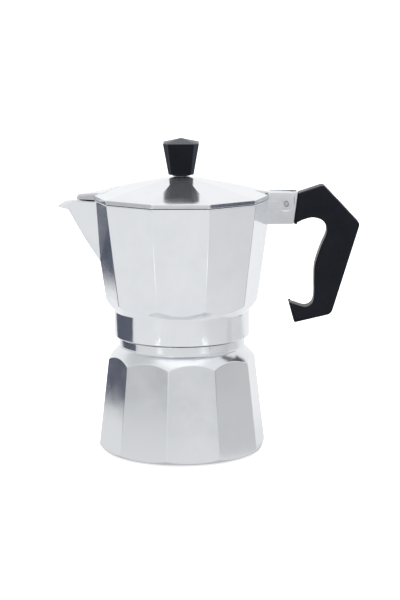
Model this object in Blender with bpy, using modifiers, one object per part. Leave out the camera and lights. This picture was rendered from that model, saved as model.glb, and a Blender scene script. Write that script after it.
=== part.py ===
"""A three-cup stovetop moka pot, modelled as the separate pieces it comes apart into.

Lengths in this file are millimetres, and the helper functions turn them into Blender's metres.
The origin is the centre of the boiler's flat foot. +Z is up, the handle points to +X and the spout
to -X. The upper body and the lid have a corner of their ten-sided outline on the +X axis.
"""

import math

import bmesh
import bpy
from mathutils import Matrix, Vector

MM = 0.001
FIT = 0.3  # clearance between pieces that touch
WELD = 0.000001  # metres
SIDES = 10  # the boiler, the collector and the lid are ten-sided
ROUND_STEPS = 48
SMALL_STEPS = 24
MITRE = math.cos(math.pi / SIDES)  # flat-to-flat over corner-to-corner

# Boiler
BOILER_FOOT_R = 43.3  # corner radius at the foot
BOILER_TAPER = 0.1166  # corner radius lost for each millimetre of height
BOILER_TURN = 8.0  # degrees the boiler's corners sit past the collector's once screwed tight
BOILER_WALL = 3.0
FOOT_FLAT_R = 37.0
FOOT_ROUND = (8.0, 8.5)  # width and height of the rounded edge under the boiler
SHOULDER_LOW = (38.9, 45.6)
SHOULDER_BEND = (36.9, 49.3)
SHOULDER_HIGH = (31.7, 53.9)
NECK_R, NECK_TOP_Z = 32.0, 58.8
THREAD_ROOT_R, RIM_Z = 30.0, 66.5
MOUTH_R = 26.3
THREAD_PITCH, THREAD_WIRE_R = 3.0, 0.75
THREAD_POINTS = 24  # a turn

# Collector
COLLAR_R, COLLAR_Z = 34.49, 59.4
COLLAR_BORE_R = 32.3
BODY_TOP_R, BODY_TOP_Z = 45.75, 129.2
BODY_TAPER = 0.1365
BODY_WALL = 3.0
FLOOR_Z = 77.8
SEAT_R, SEAT_LOW_Z, SEAT_Z = 31.4, 67.8, 70.9
PLATE_RECESS_R, PLATE_RECESS_Z = 28.8, 72.0
DOME_R, DOME_Z = 24.0, 74.2
BOSS_R, BOSS_Z = 7.0, 80.0
COLUMN_HOLE_R = 4.0

# Spout, on the -X corner of the collector
SPOUT_RIM_Z = 128.75
SPOUT_ROOT = (-38.0, 11.6)
KEEL = [(-57.4, 123.5), (-49.2, 108.6), (-41.7, 97.1), (-38.8, 92.6)]
SPOUT_WALL_SHIFT = 2.6
LIP_TIP = (-62.84, 125.3)

# Hinge bracket, cast on the +X corner
PIN_X, PIN_Z, PIN_R = 52.9, 127.0, 1.2
BRACKET_HALF = 5.0
EAR_HALF, EAR_R = 5.5, 4.2  # the raised pad round the pin, on either side of the bracket
EAR_LOW_Z = PIN_Z + 1.1
TONGUE_HALF = 2.5
KNUCKLE_R = 4.7
EAR_TOP_Z = 133.0
BLOCK_LOW_Z = 116.4

# Lid
LID_LOW_Z, LID_EDGE_Z = 129.5, 131.7
LID_APEX_Z = 141.0
LID_SLOPE, LID_CURVE = 0.1514, 0.0012  # fall of the roof with its corner radius
LID_SHEET = 1.7
KNOB_LOW_Z, KNOB_RIM_Z, KNOB_TOP_Z = 141.7, 157.46, 160.0
KNOB_RIM_HALF, KNOB_LOW_HALF = 9.1, 6.35
KNOB_RIM_FACE, KNOB_LOW_FACE = 6.7, 4.9

# Handle
HANDLE_HALF = 5.5
HANDLE_EDGE = 1.3
JOINT_LOW, JOINT_HIGH = (56.95, 116.7), (59.0, 132.2)
SCREW_START = (57.4, 120.6)  # where the screw's axis crosses the joint
SCREW_ANGLE = 16.7  # degrees the screw rises towards the back of the handle
SCREW_R, SCREW_HEAD_R = 1.75, 3.1
COUNTERBORE_DEPTH = 13.7  # from the joint to the counterbore's floor, along the screw

# Funnel, gasket and filter plate
FLANGE_R, FLANGE_Z, FLANGE_T = 29.6, 66.8, 1.0
CUP_R, CUP_WALL, CUP_LOW_Z = 25.0, 0.8, 48.0
TUBE_R, TUBE_BORE_R, TUBE_LOW_Z, TUBE_TOP_Z = 4.6, 3.8, 6.5, 44.5
GASKET_IN_R, GASKET_OUT_R, GASKET_Z, GASKET_T = 24.6, 31.0, 68.1, 2.5
PLATE_R, PLATE_T = 28.4, 0.8
HOLE_R, HOLE_PITCH = 0.9, 6.6

# Column
COLUMN_TOP_Z, COLUMN_BORE_R = 115.0, 3.0

# Safety valve, square to the boiler facet that faces the back
VALVE_FACET = 98.0  # degrees from +X
VALVE_Z = 35.0
VALVE_STUB_R, VALVE_BORE_R = 3.5, 2.5
VALVE_HEX_R, VALVE_HEX_LOW, VALVE_HEX_HIGH = 5.8, 1.3, 5.3
PLUNGER_R, PLUNGER_LOW, STEM_R = 2.1, -2.3, 0.6
COIL_R, COIL_WIRE_R, COIL_TURNS = 1.5, 0.25, 5


# ---------------------------------------------------------------- helpers

def clear_scene():
    for old in list(bpy.data.objects):
        bpy.data.objects.remove(old)


def collection(name):
    made = bpy.data.collections.new(name)
    bpy.context.scene.collection.children.link(made)
    return made


def material(name, colour, roughness, metallic):
    made = bpy.data.materials.new(name)
    made.use_nodes = True
    shader = made.node_tree.nodes["Principled BSDF"]
    shader.inputs["Base Color"].default_value = (*colour, 1.0)
    shader.inputs["Roughness"].default_value = roughness
    shader.inputs["Metallic"].default_value = metallic
    return made


def arc(centre, radii, start, end, count):
    """Points along an ellipse's arc, both ends included, with its angles in degrees."""
    points = []
    for i in range(count + 1):
        angle = math.radians(start + (end - start) * i / count)
        points.append((centre[0] + radii[0] * math.cos(angle), centre[1] + radii[1] * math.sin(angle)))
    return points


def bend(start, middle, end, count):
    """Points along a quadratic curve, both ends included."""
    points = []
    for i in range(count + 1):
        t = i / count
        weights = ((1 - t) ** 2, 2 * t * (1 - t), t * t)
        points.append(tuple(weights[0] * a + weights[1] * b + weights[2] * c
                            for a, b, c in zip(start, middle, end)))
    return points


def rounded(corners, count=4):
    """An outline whose corners (x, y, radius) are replaced by arcs."""
    points = []
    for i, (x, y, radius) in enumerate(corners):
        here = Vector((x, y))
        before = (Vector(corners[i - 1][:2]) - here).normalized()
        after = (Vector(corners[(i + 1) % len(corners)][:2]) - here).normalized()
        half = before.angle(after) / 2
        reach = radius / math.tan(half)
        if radius == 0:
            points.append((x, y))
            continue
        start, end = here + before * reach, here + after * reach
        centre = here + (before + after).normalized() * (radius / math.sin(half))
        first = start - centre
        turn = first.angle_signed(end - centre)
        for k in range(count + 1):
            step = first.copy()
            step.rotate(Matrix.Rotation(-turn * k / count, 2))
            points.append(tuple(centre + step))
    return points


def smooth_run(points, count=4):
    """A Catmull-Rom curve through the points, without its first and last."""
    made = []
    for i in range(1, len(points) - 2):
        a, b, c, d = (Vector(points[i + k]) for k in (-1, 0, 1, 2))
        for k in range(count):
            t = k / count
            made.append(tuple(0.5 * (2 * b + (c - a) * t + (2 * a - 5 * b + 4 * c - d) * t * t
                                     + (3 * b - a - 3 * c + d) * t ** 3)))
    made.append(tuple(points[-2]))
    return made


def place(name, mesh, target, look=None):
    made = bpy.data.objects.new(name, mesh)
    target.objects.link(made)
    if look:
        mesh.materials.clear()
        mesh.materials.append(look)
    return made


def finish_mesh(bm, name):
    bmesh.ops.remove_doubles(bm, verts=bm.verts, dist=WELD)
    bmesh.ops.recalc_face_normals(bm, faces=bm.faces)
    mesh = bpy.data.meshes.new(name)
    bm.to_mesh(mesh)
    bm.free()
    mesh.shade_smooth()
    mesh.set_sharp_from_angle(angle=math.radians(30))
    return mesh


def baked(source):
    """The source's evaluated shape as an object with a mesh of its own, in the same place."""
    bpy.context.view_layer.update()
    graph = bpy.context.evaluated_depsgraph_get()
    bm = bmesh.new()
    bm.from_mesh(bpy.data.meshes.new_from_object(source.evaluated_get(graph)))
    name, target, matrix = source.name, source.users_collection[0], source.matrix_world.copy()
    looks = list(source.data.materials)
    bpy.data.objects.remove(source)
    made = place(name, finish_mesh(bm, name), target, looks[0] if looks else None)
    made.matrix_world = matrix
    return made


def turned(name, profile, steps, target, look=None, closed=False):
    """A profile of (radius, height) turned round Z. It runs down its outer side."""
    mesh = bpy.data.meshes.new(name)
    edges = [(i, i + 1) for i in range(len(profile) - 1)]
    if closed:
        edges.append((len(profile) - 1, 0))
    mesh.from_pydata([(r * MM, 0.0, z * MM) for r, z in profile], edges, [])
    made = place(name, mesh, target, look)
    screw = made.modifiers.new("turn", "SCREW")
    screw.steps = steps
    screw.render_steps = steps
    screw.use_merge_vertices = True
    screw.merge_threshold = 0.00001
    return baked(made)


def cylinder(name, radius, low, high, target, look=None, steps=SMALL_STEPS):
    profile = [(0, high), (radius, high), (radius, low), (0, low)]
    return turned(name, profile, steps, target, look)


def box(name, low, high, target, look=None):
    bm = bmesh.new()
    bmesh.ops.create_cube(bm, size=1.0)
    for vert in bm.verts:
        vert.co = Vector([(a + (c + 0.5) * (b - a)) * MM for a, b, c in zip(low, high, vert.co)])
    return place(name, finish_mesh(bm, name), target, look)


def hull(name, points, target, look=None):
    """The convex solid round the points. A point off the XZ plane stands for its mirror image too."""
    bm = bmesh.new()
    for x, y, z in points:
        bm.verts.new((x * MM, y * MM, z * MM))
        if y:
            bm.verts.new((x * MM, -y * MM, z * MM))
    result = bmesh.ops.convex_hull(bm, input=bm.verts)
    loose = {item for key in ("geom_interior", "geom_unused") for item in result[key]}
    bmesh.ops.delete(bm, geom=[v for v in loose if isinstance(v, bmesh.types.BMVert)], context="VERTS")
    return place(name, finish_mesh(bm, name), target, look)


def plate(name, outline, half, target, look=None, edge=0.0):
    """An outline in the XZ plane, given as (x, z), with its thickness along Y and rounded edges."""
    curve = bpy.data.curves.new(name, "CURVE")
    curve.dimensions = "2D"
    curve.fill_mode = "BOTH"
    curve.extrude = (half - edge) * MM
    curve.bevel_depth = edge * MM
    curve.bevel_resolution = 1
    curve.offset = -edge * MM
    spline = curve.splines.new("POLY")
    spline.points.add(len(outline) - 1)
    for point, (x, z) in zip(spline.points, outline):
        point.co = (x * MM, z * MM, 0.0, 1.0)
    spline.use_cyclic_u = True
    made = place(name, curve, target)
    if look:
        curve.materials.append(look)
    made.rotation_euler = (math.radians(90), 0.0, 0.0)
    return baked(made)


def coil(name, radius, wire, low, high, turns, per_turn, target, look=None, fade=False):
    """A helical wire round Z. With fade its ends run out to a point, as a cast thread's do."""
    curve = bpy.data.curves.new(name, "CURVE")
    curve.dimensions = "3D"
    curve.bevel_depth = wire * MM
    curve.bevel_resolution = 1
    curve.use_fill_caps = True
    count = round(turns * per_turn)
    spline = curve.splines.new("POLY")
    spline.points.add(count)
    for i, point in enumerate(spline.points):
        angle = math.tau * i / per_turn
        height = low + (high - low) * i / count
        point.co = (radius * math.cos(angle) * MM, radius * math.sin(angle) * MM, height * MM, 1.0)
        if fade:
            point.radius = min(1.0, 0.25 + 4.0 * min(i, count - i) / per_turn)
    made = place(name, curve, target)
    if look:
        curve.materials.append(look)
    return baked(made)


def combine(target, tool, operation, cutters):
    """Joins the tool to the target, or cuts with it, and files the tool with the cutters."""
    for home in list(tool.users_collection):
        home.objects.unlink(tool)
    cutters.objects.link(tool)
    tool.hide_render = True
    tool.display_type = "WIRE"
    change = target.modifiers.new(f"{operation.lower()} {tool.name}", "BOOLEAN")
    change.operation = operation
    change.solver = "EXACT"
    change.object = tool


def hang(child, parent):
    """Parents the child and lets it lie in the parent's own frame."""
    child.parent = parent


def holes(name, radius, pitch, reach, low, high, target):
    """Small upright drills on a hexagonal grid, all those whose centre is within reach of Z."""
    bm = bmesh.new()
    rows = int(reach / pitch) + 1
    for row in range(-rows, rows + 1):
        for column in range(-rows, rows + 1):
            x = (column + 0.5 * (row % 2)) * pitch
            y = row * pitch * math.sin(math.pi / 3)
            if math.hypot(x, y) > reach:
                continue
            spot = Matrix.Translation((x * MM, y * MM, (low + high) / 2 * MM))
            bmesh.ops.create_cone(bm, cap_ends=True, segments=6, radius1=radius * MM,
                                  radius2=radius * MM, depth=(high - low) * MM, matrix=spot)
    return place(name, finish_mesh(bm, name), target)


def joint_x(z):
    """Where the slanted joint between bracket and handle lies at a height."""
    share = (z - JOINT_LOW[1]) / (JOINT_HIGH[1] - JOINT_LOW[1])
    return JOINT_LOW[0] + share * (JOINT_HIGH[0] - JOINT_LOW[0])


def lid_z(radius):
    return LID_APEX_Z - LID_SLOPE * radius - LID_CURVE * radius * radius


# ---------------------------------------------------------------- boiler and its valve

def make_boiler(parts, cutters, look):
    foot = arc((FOOT_FLAT_R, FOOT_ROUND[1]), FOOT_ROUND, 0, -90, 8)
    profile = [(0, RIM_Z), (THREAD_ROOT_R - 0.5, RIM_Z), (THREAD_ROOT_R, RIM_Z - 0.5),
               (THREAD_ROOT_R, NECK_TOP_Z), (NECK_R - 0.5, NECK_TOP_Z), (NECK_R, NECK_TOP_Z - 0.5),
               (NECK_R, SHOULDER_HIGH[1] + 0.8)]
    profile += bend(SHOULDER_HIGH, SHOULDER_BEND, SHOULDER_LOW, 8)
    profile += [(FOOT_FLAT_R + FOOT_ROUND[0], SHOULDER_LOW[1] - 8)] + foot + [(0, 0)]
    boiler = turned("boiler", profile, ROUND_STEPS, parts, look)

    low, high = -2.0, RIM_Z + 2.0
    facets = [(0, high), (BOILER_FOOT_R - BOILER_TAPER * high, high),
              (BOILER_FOOT_R - BOILER_TAPER * low, low), (0, low)]
    sides = turned("boiler_facets", facets, SIDES, cutters)
    sides.rotation_euler.z = math.radians(BOILER_TURN)
    combine(boiler, sides, "INTERSECT", cutters)

    thread = coil("boiler_thread", THREAD_ROOT_R + 0.15, THREAD_WIRE_R, NECK_TOP_Z + 1.4, RIM_Z - 1.2,
                  (RIM_Z - NECK_TOP_Z - 2.6) / THREAD_PITCH, THREAD_POINTS, cutters, fade=True)
    combine(boiler, thread, "UNION", cutters)

    def inner(z):
        return (BOILER_FOOT_R - BOILER_TAPER * z) * MITRE - BOILER_WALL

    hollow = [(0, RIM_Z + 5), (MOUTH_R, RIM_Z + 5), (MOUTH_R, NECK_TOP_Z - 0.8), (31.2, 49.5),
              (inner(43), 43.0), (inner(10), 10.0), (inner(10) - 1.2, 5.8), (inner(10) - 3.8, 3.6),
              (30.0, BOILER_WALL), (0, BOILER_WALL)]
    combine(boiler, turned("boiler_hollow", hollow, ROUND_STEPS, cutters), "DIFFERENCE", cutters)
    return boiler


def make_valve(parts, cutters, boiler, brass, copper, steel):
    tilt = math.atan(BOILER_TAPER * MITRE)
    reach = (BOILER_FOOT_R - BOILER_TAPER * VALVE_Z) * MITRE
    turn = math.radians(VALVE_FACET)
    axis = bpy.data.objects.new("valve_axis", None)
    parts.objects.link(axis)
    axis.location = (reach * math.cos(turn) * MM, reach * math.sin(turn) * MM, VALVE_Z * MM)
    axis.rotation_euler = (0.0, math.radians(90) - tilt, turn)

    drill = cylinder("valve_hole", VALVE_STUB_R + FIT, -9.0, 5.0, cutters)
    hang(drill, axis)
    combine(boiler, drill, "DIFFERENCE", cutters)

    washer = turned("valve_washer", [(6.2, 1.0), (6.2, FIT), (VALVE_STUB_R + FIT, FIT),
                                     (VALVE_STUB_R + FIT, 1.0)], SMALL_STEPS, parts, copper, True)
    profile = [(VALVE_BORE_R, 6.5), (3.7, 6.5), (4.0, 6.2), (4.0, 2.0), (VALVE_STUB_R, 2.0),
               (VALVE_STUB_R, -3.8), (VALVE_STUB_R - 0.4, -4.2), (0.9, -4.2), (0.9, PLUNGER_LOW - FIT),
               (VALVE_BORE_R, PLUNGER_LOW - FIT)]
    body = turned("valve_body", profile, SMALL_STEPS, parts, brass, True)
    nut = turned("valve_hex", [(VALVE_STUB_R - 0.3, VALVE_HEX_HIGH), (VALVE_HEX_R - 0.5, VALVE_HEX_HIGH),
                               (VALVE_HEX_R, VALVE_HEX_HIGH - 0.5), (VALVE_HEX_R, VALVE_HEX_LOW),
                               (VALVE_STUB_R - 0.3, VALVE_HEX_LOW)], 6, cutters, closed=True)
    hang(nut, axis)
    combine(body, nut, "UNION", cutters)

    plunger = turned("valve_plunger", [(0, 7.9), (STEM_R - 0.2, 7.9), (STEM_R, 7.7),
                                       (STEM_R, PLUNGER_LOW + 1.1), (PLUNGER_R, PLUNGER_LOW + 1.1),
                                       (PLUNGER_R, PLUNGER_LOW), (0, PLUNGER_LOW)],
                     SMALL_STEPS, parts, brass)
    spring = coil("valve_spring", COIL_R, COIL_WIRE_R, PLUNGER_LOW + 1.1 + FIT + COIL_WIRE_R,
                  4.6 - FIT - COIL_WIRE_R, COIL_TURNS, 10, parts, steel)
    cap = turned("valve_cap", [(VALVE_BORE_R - FIT, 5.9), (VALVE_BORE_R - FIT, 4.6), (STEM_R + FIT, 4.6),
                               (STEM_R + FIT, 5.9)], SMALL_STEPS, parts, brass, True)
    for piece in (washer, body, plunger, spring, cap):
        hang(piece, axis)


# ---------------------------------------------------------------- funnel

def make_funnel(parts, cutters, look):
    top = FLANGE_Z + FLANGE_T
    inner = CUP_R - CUP_WALL
    neck = TUBE_R + FIT
    cone_low = TUBE_TOP_Z - 2.5
    profile = [(inner, top), (FLANGE_R, top), (FLANGE_R, FLANGE_Z), (CUP_R, FLANGE_Z),
               (CUP_R, CUP_LOW_Z), (neck + 0.9, cone_low), (neck + 0.9, cone_low - 4.0),
               (neck, cone_low - 4.0), (neck, cone_low + 0.3), (inner - 0.3, CUP_LOW_Z + 0.3),
               (inner, CUP_LOW_Z + 0.8)]
    turned("funnel_cup", profile, ROUND_STEPS, parts, look, True)
    turned("funnel_tube", [(TUBE_BORE_R, cone_low + 0.2), (TUBE_R, cone_low + 0.2),
                           (TUBE_R, TUBE_LOW_Z), (TUBE_BORE_R, TUBE_LOW_Z)],
           SMALL_STEPS, parts, look, True)
    screen = cylinder("basket_screen", inner - FIT, CUP_LOW_Z + 1.1, CUP_LOW_Z + 1.8, parts, look,
                      ROUND_STEPS)
    drills = holes("screen_holes", HOLE_R, HOLE_PITCH, inner - 4.0, CUP_LOW_Z, CUP_LOW_Z + 3.0, cutters)
    combine(screen, drills, "DIFFERENCE", cutters)


# ---------------------------------------------------------------- gasket and filter plate

def make_seal(parts, cutters, rubber, look):
    high = GASKET_Z + GASKET_T
    profile = [(GASKET_OUT_R, high), (GASKET_OUT_R, GASKET_Z), (GASKET_IN_R, GASKET_Z), (GASKET_IN_R, high)]
    turned("gasket", profile, ROUND_STEPS, parts, rubber, True)
    low = high + FIT
    filter_plate = cylinder("filter_plate", PLATE_R, low, low + PLATE_T, parts, look, ROUND_STEPS)
    drills = holes("plate_holes", HOLE_R, HOLE_PITCH, DOME_R - 3.0, low - 1, low + PLATE_T + 1, cutters)
    combine(filter_plate, drills, "DIFFERENCE", cutters)


# ---------------------------------------------------------------- collector

def bracket_outline():
    """The block between the body and the handle."""
    high = EAR_TOP_Z - 0.1
    return rounded([(40.0, BLOCK_LOW_Z, 0), (joint_x(BLOCK_LOW_Z) - FIT, BLOCK_LOW_Z, 0.8),
                    (joint_x(high) - FIT, high, 0.8), (43.8, high, 1.5),
                    (43.8, BODY_TOP_Z, 0), (40.0, BODY_TOP_Z, 0)])


def ear_outline():
    """The pad round the pin: a straight top towards the body and a round end."""
    pad = rounded([(43.6, EAR_LOW_Z, 0), (43.6, EAR_TOP_Z, 1.5), (PIN_X + EAR_R, EAR_TOP_Z, 5.0),
                   (PIN_X + EAR_R, PIN_Z, 0)])
    return pad + arc((PIN_X, PIN_Z), (EAR_R, EAR_R), 0, -195, 14)[1:]


def slot_outline():
    """The room between the ears: the knuckle's pocket, open to the top and the back."""
    pocket = KNUCKLE_R + 0.5
    return arc((PIN_X, PIN_Z), (pocket, pocket), 155, 360, 14) + [
        (60.0, PIN_Z), (60.0, 140.0), (42.0, 140.0), (42.0, BODY_TOP_Z)]


def make_collector(parts, cutters, look):
    turn_profile = [(0, BODY_TOP_Z), (BODY_TOP_R + 5, BODY_TOP_Z), (BODY_TOP_R + 5, 84.0)]
    turn_profile += bend((39.4, 78.3), (35.0, 73.7), (COLLAR_R, 72.4), 8)
    turn_profile += [(COLLAR_R, COLLAR_Z + 0.5), (COLLAR_R - 0.5, COLLAR_Z), (0, COLLAR_Z)]
    collector = turned("collector", turn_profile, ROUND_STEPS, parts, look)

    waist = 71.0
    facets = [(0, BODY_TOP_Z + 3), (BODY_TOP_R + 3 * BODY_TAPER, BODY_TOP_Z + 3),
              (BODY_TOP_R - BODY_TAPER * (BODY_TOP_Z - waist), waist),
              (BODY_TOP_R - BODY_TAPER * (BODY_TOP_Z - waist), COLLAR_Z - 3), (0, COLLAR_Z - 3)]
    combine(collector, turned("collector_facets", facets, SIDES, cutters), "INTERSECT", cutters)

    combine(collector, plate("bracket", bracket_outline(), BRACKET_HALF, cutters), "UNION", cutters)
    combine(collector, plate("bracket_ears", ear_outline(), EAR_HALF, cutters), "UNION", cutters)
    spout = hull("spout", [(SPOUT_ROOT[0], SPOUT_ROOT[1], SPOUT_RIM_Z), (-57.2, 2.0, 128.45)]
                 + [(x, 0.0, z) for x, z in KEEL], cutters)
    combine(collector, spout, "UNION", cutters)
    lip = hull("spout_lip", [(-54.5, 3.0, 128.5), (-57.2, 2.4, 128.4), (-58.9, 2.3, 127.9),
                             (-61.4, 1.8, 126.5), (LIP_TIP[0], 0.8, LIP_TIP[1]),
                             (-59.9, 1.2, 124.75), (-59.9, 0.0, 124.45), (-57.4, 1.6, 124.2),
                             (-57.4, 0.0, 123.6), (-54.5, 0.0, 122.8)], cutters)
    combine(collector, lip, "UNION", cutters)

    boss = turned("column_boss", [(0, BOSS_Z), (BOSS_R - 1.0, BOSS_Z), (BOSS_R, BOSS_Z - 1.0),
                                  (BOSS_R + 0.6, FLOOR_Z - 1), (0, FLOOR_Z - 1)], SMALL_STEPS, cutters)

    top_inner = BODY_TOP_R - BODY_WALL / MITRE
    low_inner = top_inner - BODY_TAPER * (BODY_TOP_Z - 82.0)
    hollow = [(0, BODY_TOP_Z + 3), (top_inner + 3 * BODY_TAPER, BODY_TOP_Z + 3), (low_inner, 82.0),
              (low_inner - 1.0, 79.6), (low_inner - 3.4, FLOOR_Z), (0, FLOOR_Z)]
    combine(collector, turned("collector_hollow", hollow, SIDES, cutters), "DIFFERENCE", cutters)
    combine(collector, boss, "UNION", cutters)

    channel = hull("spout_channel", [(-36.0, 10.6, 133.0), (-55.2, 0.5, 133.0)]
                   + [(x + SPOUT_WALL_SHIFT, 0.0, z + 0.9) for x, z in KEEL], cutters)
    combine(collector, channel, "DIFFERENCE", cutters)
    trough = hull("lip_trough", [(-53.0, 1.6, 133.0), (-63.6, 1.0, 133.0), (-63.6, 0.0, 126.2),
                                 (-53.0, 0.0, 125.0)], cutters)
    combine(collector, trough, "DIFFERENCE", cutters)

    under = [(0, DOME_Z), (DOME_R - 4.0, DOME_Z), (DOME_R, PLATE_RECESS_Z), (PLATE_RECESS_R, PLATE_RECESS_Z),
             (PLATE_RECESS_R, SEAT_Z), (SEAT_R, SEAT_Z), (SEAT_R, SEAT_LOW_Z),
             (COLLAR_BORE_R, SEAT_LOW_Z - 0.6), (COLLAR_BORE_R, COLLAR_Z + 0.6),
             (COLLAR_BORE_R + 0.6, COLLAR_Z), (COLLAR_BORE_R + 0.6, COLLAR_Z - 3), (0, COLLAR_Z - 3)]
    combine(collector, turned("collar_bore", under, ROUND_STEPS, cutters), "DIFFERENCE", cutters)
    thread = coil("collar_thread", COLLAR_BORE_R - 0.15, THREAD_WIRE_R, COLLAR_Z + 1.6,
                  COLLAR_Z + 6.1, 1.5, THREAD_POINTS, cutters, fade=True)
    combine(collector, thread, "UNION", cutters)
    drill = cylinder("column_hole", COLUMN_HOLE_R, DOME_Z - 2, BOSS_Z + 2, cutters)
    combine(collector, drill, "DIFFERENCE", cutters)

    combine(collector, plate("hinge_slot", slot_outline(), TONGUE_HALF + FIT, cutters), "DIFFERENCE",
            cutters)
    pin_hole = cylinder("pin_hole", PIN_R + FIT, -EAR_HALF - 2, EAR_HALF + 2, cutters)
    lay_across(pin_hole)
    combine(collector, pin_hole, "DIFFERENCE", cutters)
    screw_hole = cylinder("bracket_screw_hole", SCREW_R + FIT, -6.9, 5.0, cutters)
    lay_along_screw(screw_hole)
    combine(collector, screw_hole, "DIFFERENCE", cutters)
    return collector


def lay_across(piece):
    """Turns a piece made round Z so that it lies along the hinge pin's axis."""
    piece.location = (PIN_X * MM, 0.0, PIN_Z * MM)
    piece.rotation_euler = (math.radians(90), 0.0, 0.0)


def lay_along_screw(piece):
    """Turns a piece made round Z so that it lies along the handle screw, heading to the back."""
    piece.location = (SCREW_START[0] * MM, 0.0, SCREW_START[1] * MM)
    piece.rotation_euler = (0.0, math.radians(90 - SCREW_ANGLE), 0.0)


def make_column(parts, cutters, look):
    shoulder = BOSS_Z + FIT
    profile = [(COLUMN_BORE_R, COLUMN_TOP_Z), (3.8, COLUMN_TOP_Z), (4.4, shoulder + 3), (5.4, shoulder + 1.2),
               (5.4, shoulder), (COLUMN_HOLE_R - FIT, shoulder), (COLUMN_HOLE_R - FIT, DOME_Z + 0.2),
               (COLUMN_BORE_R, DOME_Z + 0.2)]
    turned("column", profile, SMALL_STEPS, parts, look, True)

    inside, outside = 3.8 + FIT, 5.0
    low, high = COLUMN_TOP_Z - 5.0, COLUMN_TOP_Z + 5.5
    cap = [(0, high), (outside - 2.2, high), (outside - 0.6, high - 1.0), (outside, high - 2.6),
           (outside, low), (inside + 0.5, low), (inside + 0.4, COLUMN_TOP_Z + 0.8),
           (inside - 0.6, high - 1.6), (0, high - 1.2)]
    column_cap = turned("column_cap", cap, SMALL_STEPS, parts, look)
    window = box("cap_windows", (-8.0, -1.6, COLUMN_TOP_Z + 0.6), (8.0, 1.6, COLUMN_TOP_Z + 3.4), cutters)
    combine(column_cap, window, "DIFFERENCE", cutters)


# ---------------------------------------------------------------- lid, knob and hinge

def tongue_outline():
    knuckle = arc((PIN_X, PIN_Z), (KNUCKLE_R, KNUCKLE_R), 148, 443.7, 20)
    return [(35.5, lid_z(35.5) - 0.1), (35.5, LID_LOW_Z + 0.2), (47.0, LID_LOW_Z)] + knuckle


def make_lid(parts, cutters, look):
    edge = BODY_TOP_R
    rings = [edge * k / 8 for k in range(1, 9)]
    inner_edge = edge - 2.2
    roof = [(0, LID_APEX_Z - 0.35)] + [(r, lid_z(r)) for r in rings[:-1]]
    roof += [(edge - 0.2, lid_z(edge - 0.2)), (edge, LID_EDGE_Z - 0.35), (edge, LID_LOW_Z)]
    under = [(inner_edge, LID_LOW_Z)]
    under += [(r, lid_z(r) - LID_SHEET) for r in reversed(rings[:-1])]
    under += [(0, LID_APEX_Z - 0.35 - LID_SHEET)]
    lid = turned("lid", roof + under, SIDES, parts, look)

    combine(lid, plate("lid_tongue", tongue_outline(), TONGUE_HALF, cutters), "UNION", cutters)
    root = hull("tongue_root", [(38.0, 7.0, LID_LOW_Z + 0.1), (43.0, 7.0, LID_LOW_Z + 0.1),
                                (38.0, 7.0, lid_z(41.0)), (43.0, 7.0, lid_z(45.6))], cutters)
    combine(lid, root, "UNION", cutters)
    for side in (-1, 1):
        notch = box(f"ear_notch_{side}", (42.4, min(side * TONGUE_HALF, side * 6.0), 127.0),
                    (48.0, max(side * TONGUE_HALF, side * 6.0), 136.0), cutters)
        combine(lid, notch, "DIFFERENCE", cutters)

    beak = hull("lid_beak", [(-30.5, 0.0, 135.3), (-52.4, 0.0, 131.5), (-39.5, 6.1, 133.1),
                             (-42.0, 6.0, 132.3), (-51.8, 1.8, 130.7), (-52.9, 0.7, 130.6),
                             (-37.5, 6.2, 129.1), (-42.0, 6.2, 129.1), (-51.9, 1.8, 129.1),
                             (-53.1, 0.7, 129.3)], cutters)
    combine(lid, beak, "UNION", cutters)

    pin_hole = cylinder("tongue_hole", PIN_R + 0.1, -TONGUE_HALF - 2, TONGUE_HALF + 2, cutters)
    lay_across(pin_hole)
    combine(lid, pin_hole, "DIFFERENCE", cutters)
    screw_hole = cylinder("knob_screw_hole", 2.0 + FIT, LID_APEX_Z - 6, LID_APEX_Z + 3, cutters)
    combine(lid, screw_hole, "DIFFERENCE", cutters)
    landing = cylinder("washer_landing", 5.2, LID_APEX_Z - 6, LID_APEX_Z - 0.35 - LID_SHEET - 0.8, cutters)
    combine(lid, landing, "DIFFERENCE", cutters)


def knob_ring(half, face, z):
    """An upright square with cut corners: half its width, and half the width of a face."""
    points = []
    for turn in range(4):
        spin = Matrix.Rotation(math.radians(90 * turn), 3, "Z")
        for y in (-face, face):
            points.append(spin @ Vector((half, y, 0.0)) + Vector((0.0, 0.0, z)))
    return points


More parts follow.
